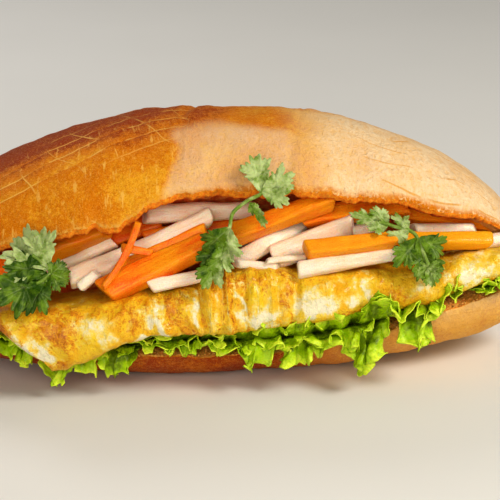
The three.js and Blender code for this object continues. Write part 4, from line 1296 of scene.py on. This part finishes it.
def make_lettuce():
    paint = leaf_paint("lettuce", deep=(0.10, 0.165, 0.001), middle=(0.36, 0.55, 0.004),
                       light=(0.72, 0.88, 0.06), vein=(0.48, 0.64, 0.07), veining=0.5)
    for index, leaf in enumerate(LETTUCE_LEAVES):
        folds = [(0, leaf["lobes"])] + leaf["folds"]
        sheets = [frilled_sheet(leaf, lobes, lift, leaf["seed"] + step * 7)
                  for step, (lift, lobes) in enumerate(folds)]
        points, faces, light, vein = joined(sheets)
        values = {"light": light, "vein": vein}
        piece = make_piece(f"lettuce_frill_{index + 1}", points, faces, values, paint)
        dress(piece, "lettuce", f"lettuce_leaf_{index + 1}")


# ---- the coriander

# A leaflet is (direction from the leaf's in degrees, length and start as shares of the leaf's size).
FAN = [(0, 0.80, 0), (48, 0.68, 0), (-48, 0.68, 0), (98, 0.42, 0), (-98, 0.42, 0)]
TRIO = [(-4, 0.92, 0), (36, 0.72, 0.02), (-42, 0.70, 0)]
TOP = [(-34, 0.82, 0), (36, 0.72, 0.04), (90, 0.62, 0)]
FEATHER = [(0, 0.46, 0.36), (52, 0.36, 0.34), (-52, 0.36, 0.34), (62, 0.36, 0.08), (-62, 0.36, 0.08)]
HAND = [(0, 0.78, 0), (-52, 0.60, 0), (60, 0.62, 0)]
OVAL = [(0, 0.54, 0.36), (20, 0.52, 0.22), (-20, 0.52, 0.22), (28, 0.48, 0.02), (-28, 0.48, 0.02)]
LEAFLET_HEART = 0.42
LEAFLET_AROUND = 132
LEAFLET_RINGS = 8
LEAFLET_HALF_THICKNESS = 0.15

# A leaflet's teeth: direction in degrees, and reach as a share of the leaflet's.
TEETH = [
    (-9, 0.95), (4, 1.0), (15, 0.92), (35, 0.90), (47, 0.92), (59, 0.80), (-31, 0.88), (-43, 0.93),
    (-56, 0.82), (82, 0.60), (-80, 0.62),
]
TOOTH_WIDTH = 8.5

# A leaf that doesn't nod stands at this angle to the ground, so that it faces the camera.
LEAF_LEAN = 70
STEM_RADIUS = 0.62
STEM_STEPS = 50
STEM_SIDES = 14
STEM_CAPS = 3

# A leaf's angles in degrees: turn in its own plane, nod back from the camera, swing about the vertical.
# Its size is in millimetres, slim is a share of its width, and light and shade are for its paint: light is
# painted light along with the leaf's own tone, and shade darkens one side of the leaf as painted shade.
SPRIGS = {
    "coriander_left": dict(
        stem=[(-61.5, -32, 49.5), (-58.5, -33, 47), (-56, -34.3, 44.6), (-57.5, -36, 42.8),
              (-60.5, -36.8, 41.5)],
        leaves=[
            dict(at=(-56.5, -33.3, 45.4), size=19.5, turn=-50, nod=10, swing=-12, seed=1, light=0.95,
                 leaflets=TRIO),
            dict(at=(-56.5, -35.3, 44), size=21.5, turn=-112, nod=14, swing=0, seed=2, light=0.20,
                 leaflets=TRIO),
            dict(at=(-55.6, -35, 44), size=9.5, turn=112, nod=5, swing=20, seed=3, light=0.3, leaflets=FAN),
        ],
    ),
    "coriander_middle": dict(
        stem=[(13.3, -26.3, 69.2), (12.2, -27.7, 66.8), (7.4, -29, 64.6), (2.6, -31.2, 61.4), (1.4, -34, 58),
              (0, -35.4, 54.6)],
        leaves=[
            dict(at=(12.3, -27.6, 67), size=16.5, turn=22, nod=12, swing=-5, seed=4, light=0.85,
                 leaflets=TOP),
            dict(at=(1.4, -34.6, 58), size=24.5, slim=0.95, turn=200, nod=0, swing=-14, seed=5, light=0.52,
                 shade=0.28, leaflets=OVAL),
            dict(at=(8, -29, 64), size=10.5, slim=0.6, turn=150, nod=10, swing=15, seed=6, light=0.6,
                 leaflets=OVAL),
        ],
    ),
    "coriander_right": dict(
        stem=[(50.3, -25.6, 55.2), (56, -26.7, 53.5), (61.6, -27.9, 51.7), (63.9, -30.5, 47.2),
              (66, -33, 42.2)],
        leaves=[
            dict(at=(61.6, -27.6, 51.8), size=26, slim=0.62, turn=-70, nod=12, swing=0, seed=7, light=0.75,
                 leaflets=FEATHER),
            dict(at=(62.9, -29.4, 50.2), size=20, turn=165, nod=5, swing=12, seed=8, light=0.3,
                 leaflets=HAND),
            dict(at=(66, -33, 42), size=9, turn=172, nod=10, swing=-10, seed=9, light=0.6, leaflets=FAN),
        ],
    ),
}


def from_direction(degrees, direction):
    return (degrees - direction + 540) % 360 - 180


def leaflet_edge(degrees, teeth):
    """The edge of a leaflet of unit length round its heart: teeth in front, a wedge behind."""
    behind = np.abs(from_direction(degrees, 180))
    edge = LEAFLET_HEART * (0.62 + 0.38 * bell(behind, 0, 26))
    for direction, reach in teeth:
        away = np.abs(from_direction(degrees, direction)) / TOOTH_WIDTH
        edge = np.maximum(edge, (1 - LEAFLET_HEART) * reach * (1 - 0.26 * away**1.8))
    return edge


def leaf_matrix(leaf):
    turn = Matrix.Rotation(math.radians(-leaf["turn"]), 4, "Z")
    nod = Matrix.Rotation(math.radians(LEAF_LEAN - leaf["nod"]), 4, "X")
    swing = Matrix.Rotation(math.radians(leaf["swing"]), 4, "Z")
    slim = Matrix.Diagonal((leaf.get("slim", 1.0), 1, 1, 1))
    return np.array(Matrix.Translation(leaf["at"]) @ swing @ nod @ turn @ slim)


def leaflet_veins(teeth, degrees, radius, share, across, from_tip, long):
    """The middle vein, and side veins that run out to every second tooth."""
    vein = bell(across, 0, 0.20) * smoothstep(from_tip, 0, long * 0.5)
    for step, _ in teeth[::2]:
        off = radius * np.sin(np.radians(np.clip(np.abs(from_direction(degrees, step)), 0, 80)))
        vein = np.maximum(vein, bell(off, 0, 0.16) * 0.6 * smoothstep(share, 0.1, 0.4))
    return vein


def leaflet(size, direction, length, start, seed):
    """Points, faces and vein values of one leaflet, in its leaf's plane."""
    rng = np.random.default_rng(seed)
    teeth = [(step + rng.uniform(-3, 3), reach * rng.uniform(0.86, 1.08)) for step, reach in TEETH]
    degrees = np.linspace(0, 360, LEAFLET_AROUND, endpoint=False)[None, :]
    angle = np.radians(degrees)
    shares = np.linspace(0, 1, LEAFLET_RINGS + 1)[1:] ** 0.8
    share = np.concatenate([shares, shares[::-1]])[:, None]
    face = np.repeat([1, -1], LEAFLET_RINGS)[:, None]
    long = size * length
    radius = long * leaflet_edge(degrees, teeth) * share
    across, ahead = np.sin(angle) * radius, np.cos(angle) * radius + long * LEAFLET_HEART
    vein = leaflet_veins(teeth, degrees, radius, share, across, long - ahead, long)
    height = rng.uniform(-0.30, 0.12) * long * ((across**2 + ahead**2) / long**2)
    height = height + rng.uniform(0.1, 0.55) * np.abs(across)
    height = height + np.sin(angle * 3 + seed) * 0.07 * long * share**1.5
    height = height + np.sin(angle * 7 + seed * 2) * 0.025 * long * share**2
    height = height - 0.10 * vein + 0.2 * rng.uniform(0, 1)
    height = height + face * LEAFLET_HALF_THICKNESS * (1 - 0.5 * share**3)
    ahead = ahead * rng.uniform(0.92, 1.04)
    turn = math.radians(direction + rng.uniform(-6, 6))
    grid = stack(across * math.cos(turn) + ahead * math.sin(turn),
                 ahead * math.cos(turn) - across * math.sin(turn) + start * size, height)
    points, faces = closed(grid, grid[0].mean(axis=0), grid[-1].mean(axis=0))
    return points, [face[::-1] for face in faces], np.append(vein, [1, 1])


def coriander_leaf(leaf):
    """Points, faces, lightness and vein values of a leaf's leaflets, in place."""
    parts = []
    for index, (direction, length, start) in enumerate(leaf["leaflets"]):
        flat, faces, vein = leaflet(leaf["size"], direction, length, start, leaf["seed"] * 10 + index)
        points = np.c_[flat, np.ones(len(flat))] @ leaf_matrix(leaf).T
        # Painted light and shade: each leaf's lightness, and a shade that darkens one side of it.
        light = leaf["light"] + leaf.get("shade", 0.0) * np.clip(-flat[:, 0] / 2, -1, 1)
        parts.append((points[:, :3], faces, light, vein))
    return joined(parts)


def stem_part(knots):
    """Points, faces, lightness and vein values of a stem along a curve through the knots."""
    centre = curve_points(knots, np.linspace(0, 1, STEM_STEPS))
    ahead = unit(np.gradient(centre, axis=0))
    side = unit(np.cross(ahead, [0.3, 1.0, 0.2]))
    over = np.cross(ahead, side)
    angle = np.linspace(0, TAU, STEM_SIDES, endpoint=False)[None, :, None]
    ring = side[:, None] * np.cos(angle) + over[:, None] * np.sin(angle)
    points, faces = capped(centre[:, None] + ring * STEM_RADIUS, centre[0], centre[-1], STEM_CAPS)
    return points, faces, [0.6] * len(points), [0.3] * len(points)


def make_coriander():
    paint = leaf_paint("coriander", deep=(0.030, 0.085, 0.003), middle=(0.15, 0.26, 0.014),
                       light=(0.48, 0.58, 0.26), vein=(0.46, 0.56, 0.24), veining=0.35)
    for name, sprig in SPRIGS.items():
        parts = [stem_part(sprig["stem"])] + [coriander_leaf(leaf) for leaf in sprig["leaves"]]
        points, faces, light, vein = joined(parts)
        piece = make_piece(f"{name}_sprig", points, faces, {"light": light, "vein": vein}, paint)
        dress(piece, "coriander", name)


# ---- floor, light and camera

CAMERA_DISTANCE = 680.0
CAMERA_LENS = 145.0
CAMERA_TURN = math.radians(5)
CAMERA_RISE = math.radians(20)
CAMERA_AIM = np.array([10.8, 0.0, 37.3])
FLOOR_HALF = 3000

# In metres: each lamp's place, size, power and colour, and the point that they all shine at.
LAMPS = {
    "key": ((0.62, -0.40, 0.66), 0.40, 5.6, (1.0, 0.94, 0.84)),
    "fill": ((-0.22, -0.95, 0.40), 0.8, 4.9, (1.0, 0.92, 0.80)),
    "rim": ((-0.35, 0.55, 0.55), 0.30, 1.5, (1.0, 0.96, 0.94)),
}
LAMP_AIM = (0.0, 0.0, 0.04)


def add_object(name, data, place, direction):
    """Adds a camera or lamp that looks in a direction."""
    made = bpy.data.objects.new(name, data)
    made.location = place
    made.rotation_euler = Vector(direction).to_track_quat("-Z", "Y").to_euler()
    bpy.context.scene.collection.objects.link(made)
    return made


def add_camera():
    ahead = np.array([
        math.sin(CAMERA_TURN) * math.cos(CAMERA_RISE),
        math.cos(CAMERA_TURN) * math.cos(CAMERA_RISE),
        -math.sin(CAMERA_RISE),
    ])
    data = bpy.data.cameras.new("camera")
    data.lens = CAMERA_LENS
    data.sensor_width = 36
    data.clip_start = 0.01
    place = Vector((CAMERA_AIM - ahead * CAMERA_DISTANCE) * MM)
    bpy.context.scene.camera = add_object("camera", data, place, ahead)


def add_lamps():
    for name, (place, size, power, colour) in LAMPS.items():
        data = bpy.data.lights.new(name, "AREA")
        data.shape = "DISK"
        data.size = size
        data.energy = power
        data.color = colour
        add_object(name, data, place, Vector(LAMP_AIM) - Vector(place))


def add_floor():
    sides = (-FLOOR_HALF, FLOOR_HALF)
    points = [(x, y, 0) for y in sides for x in sides]
    p = Paint("floor_paint", Roughness=0.8)
    colour = p.mix(p.cloud(p.place(), 0.01, 2.0), (0.79, 0.795, 0.775), (0.83, 0.835, 0.815))
    make_piece("floor", points, [(0, 1, 3, 2)], {}, p.finish(colour))


def set_world():
    world = bpy.data.worlds.new("world")
    world.use_nodes = True
    background = world.node_tree.nodes["Background"]
    background.inputs["Color"].default_value = (1.0, 0.96, 0.90, 1)
    background.inputs["Strength"].default_value = 0.15
    bpy.context.scene.world = world
    view = bpy.context.scene.view_settings
    view.view_transform = "Standard"
    view.look = "Medium High Contrast"


add_camera()
add_lamps()
add_floor()
set_world()
crumb = crumb_paint()
make_roll(crumb)
make_crumbs(crumb)
make_omelette()
make_sticks({
    "carrot": stick_paint("carrot", core=(0.88, 0.13, 0.003), rind=(0.93, 0.31, 0.004),
                          streak=(0.96, 0.42, 0.016), wet=0.25, tint=(1.0, 0.75, 0.45, 1.0)),
    "radish": stick_paint("radish", core=(0.94, 0.67, 0.47), rind=(0.96, 0.81, 0.65),
                          streak=(0.97, 0.91, 0.78), wet=0.35, tint=(1.0, 0.97, 0.92, 1.0)),
})
make_lettuce()
make_coriander()
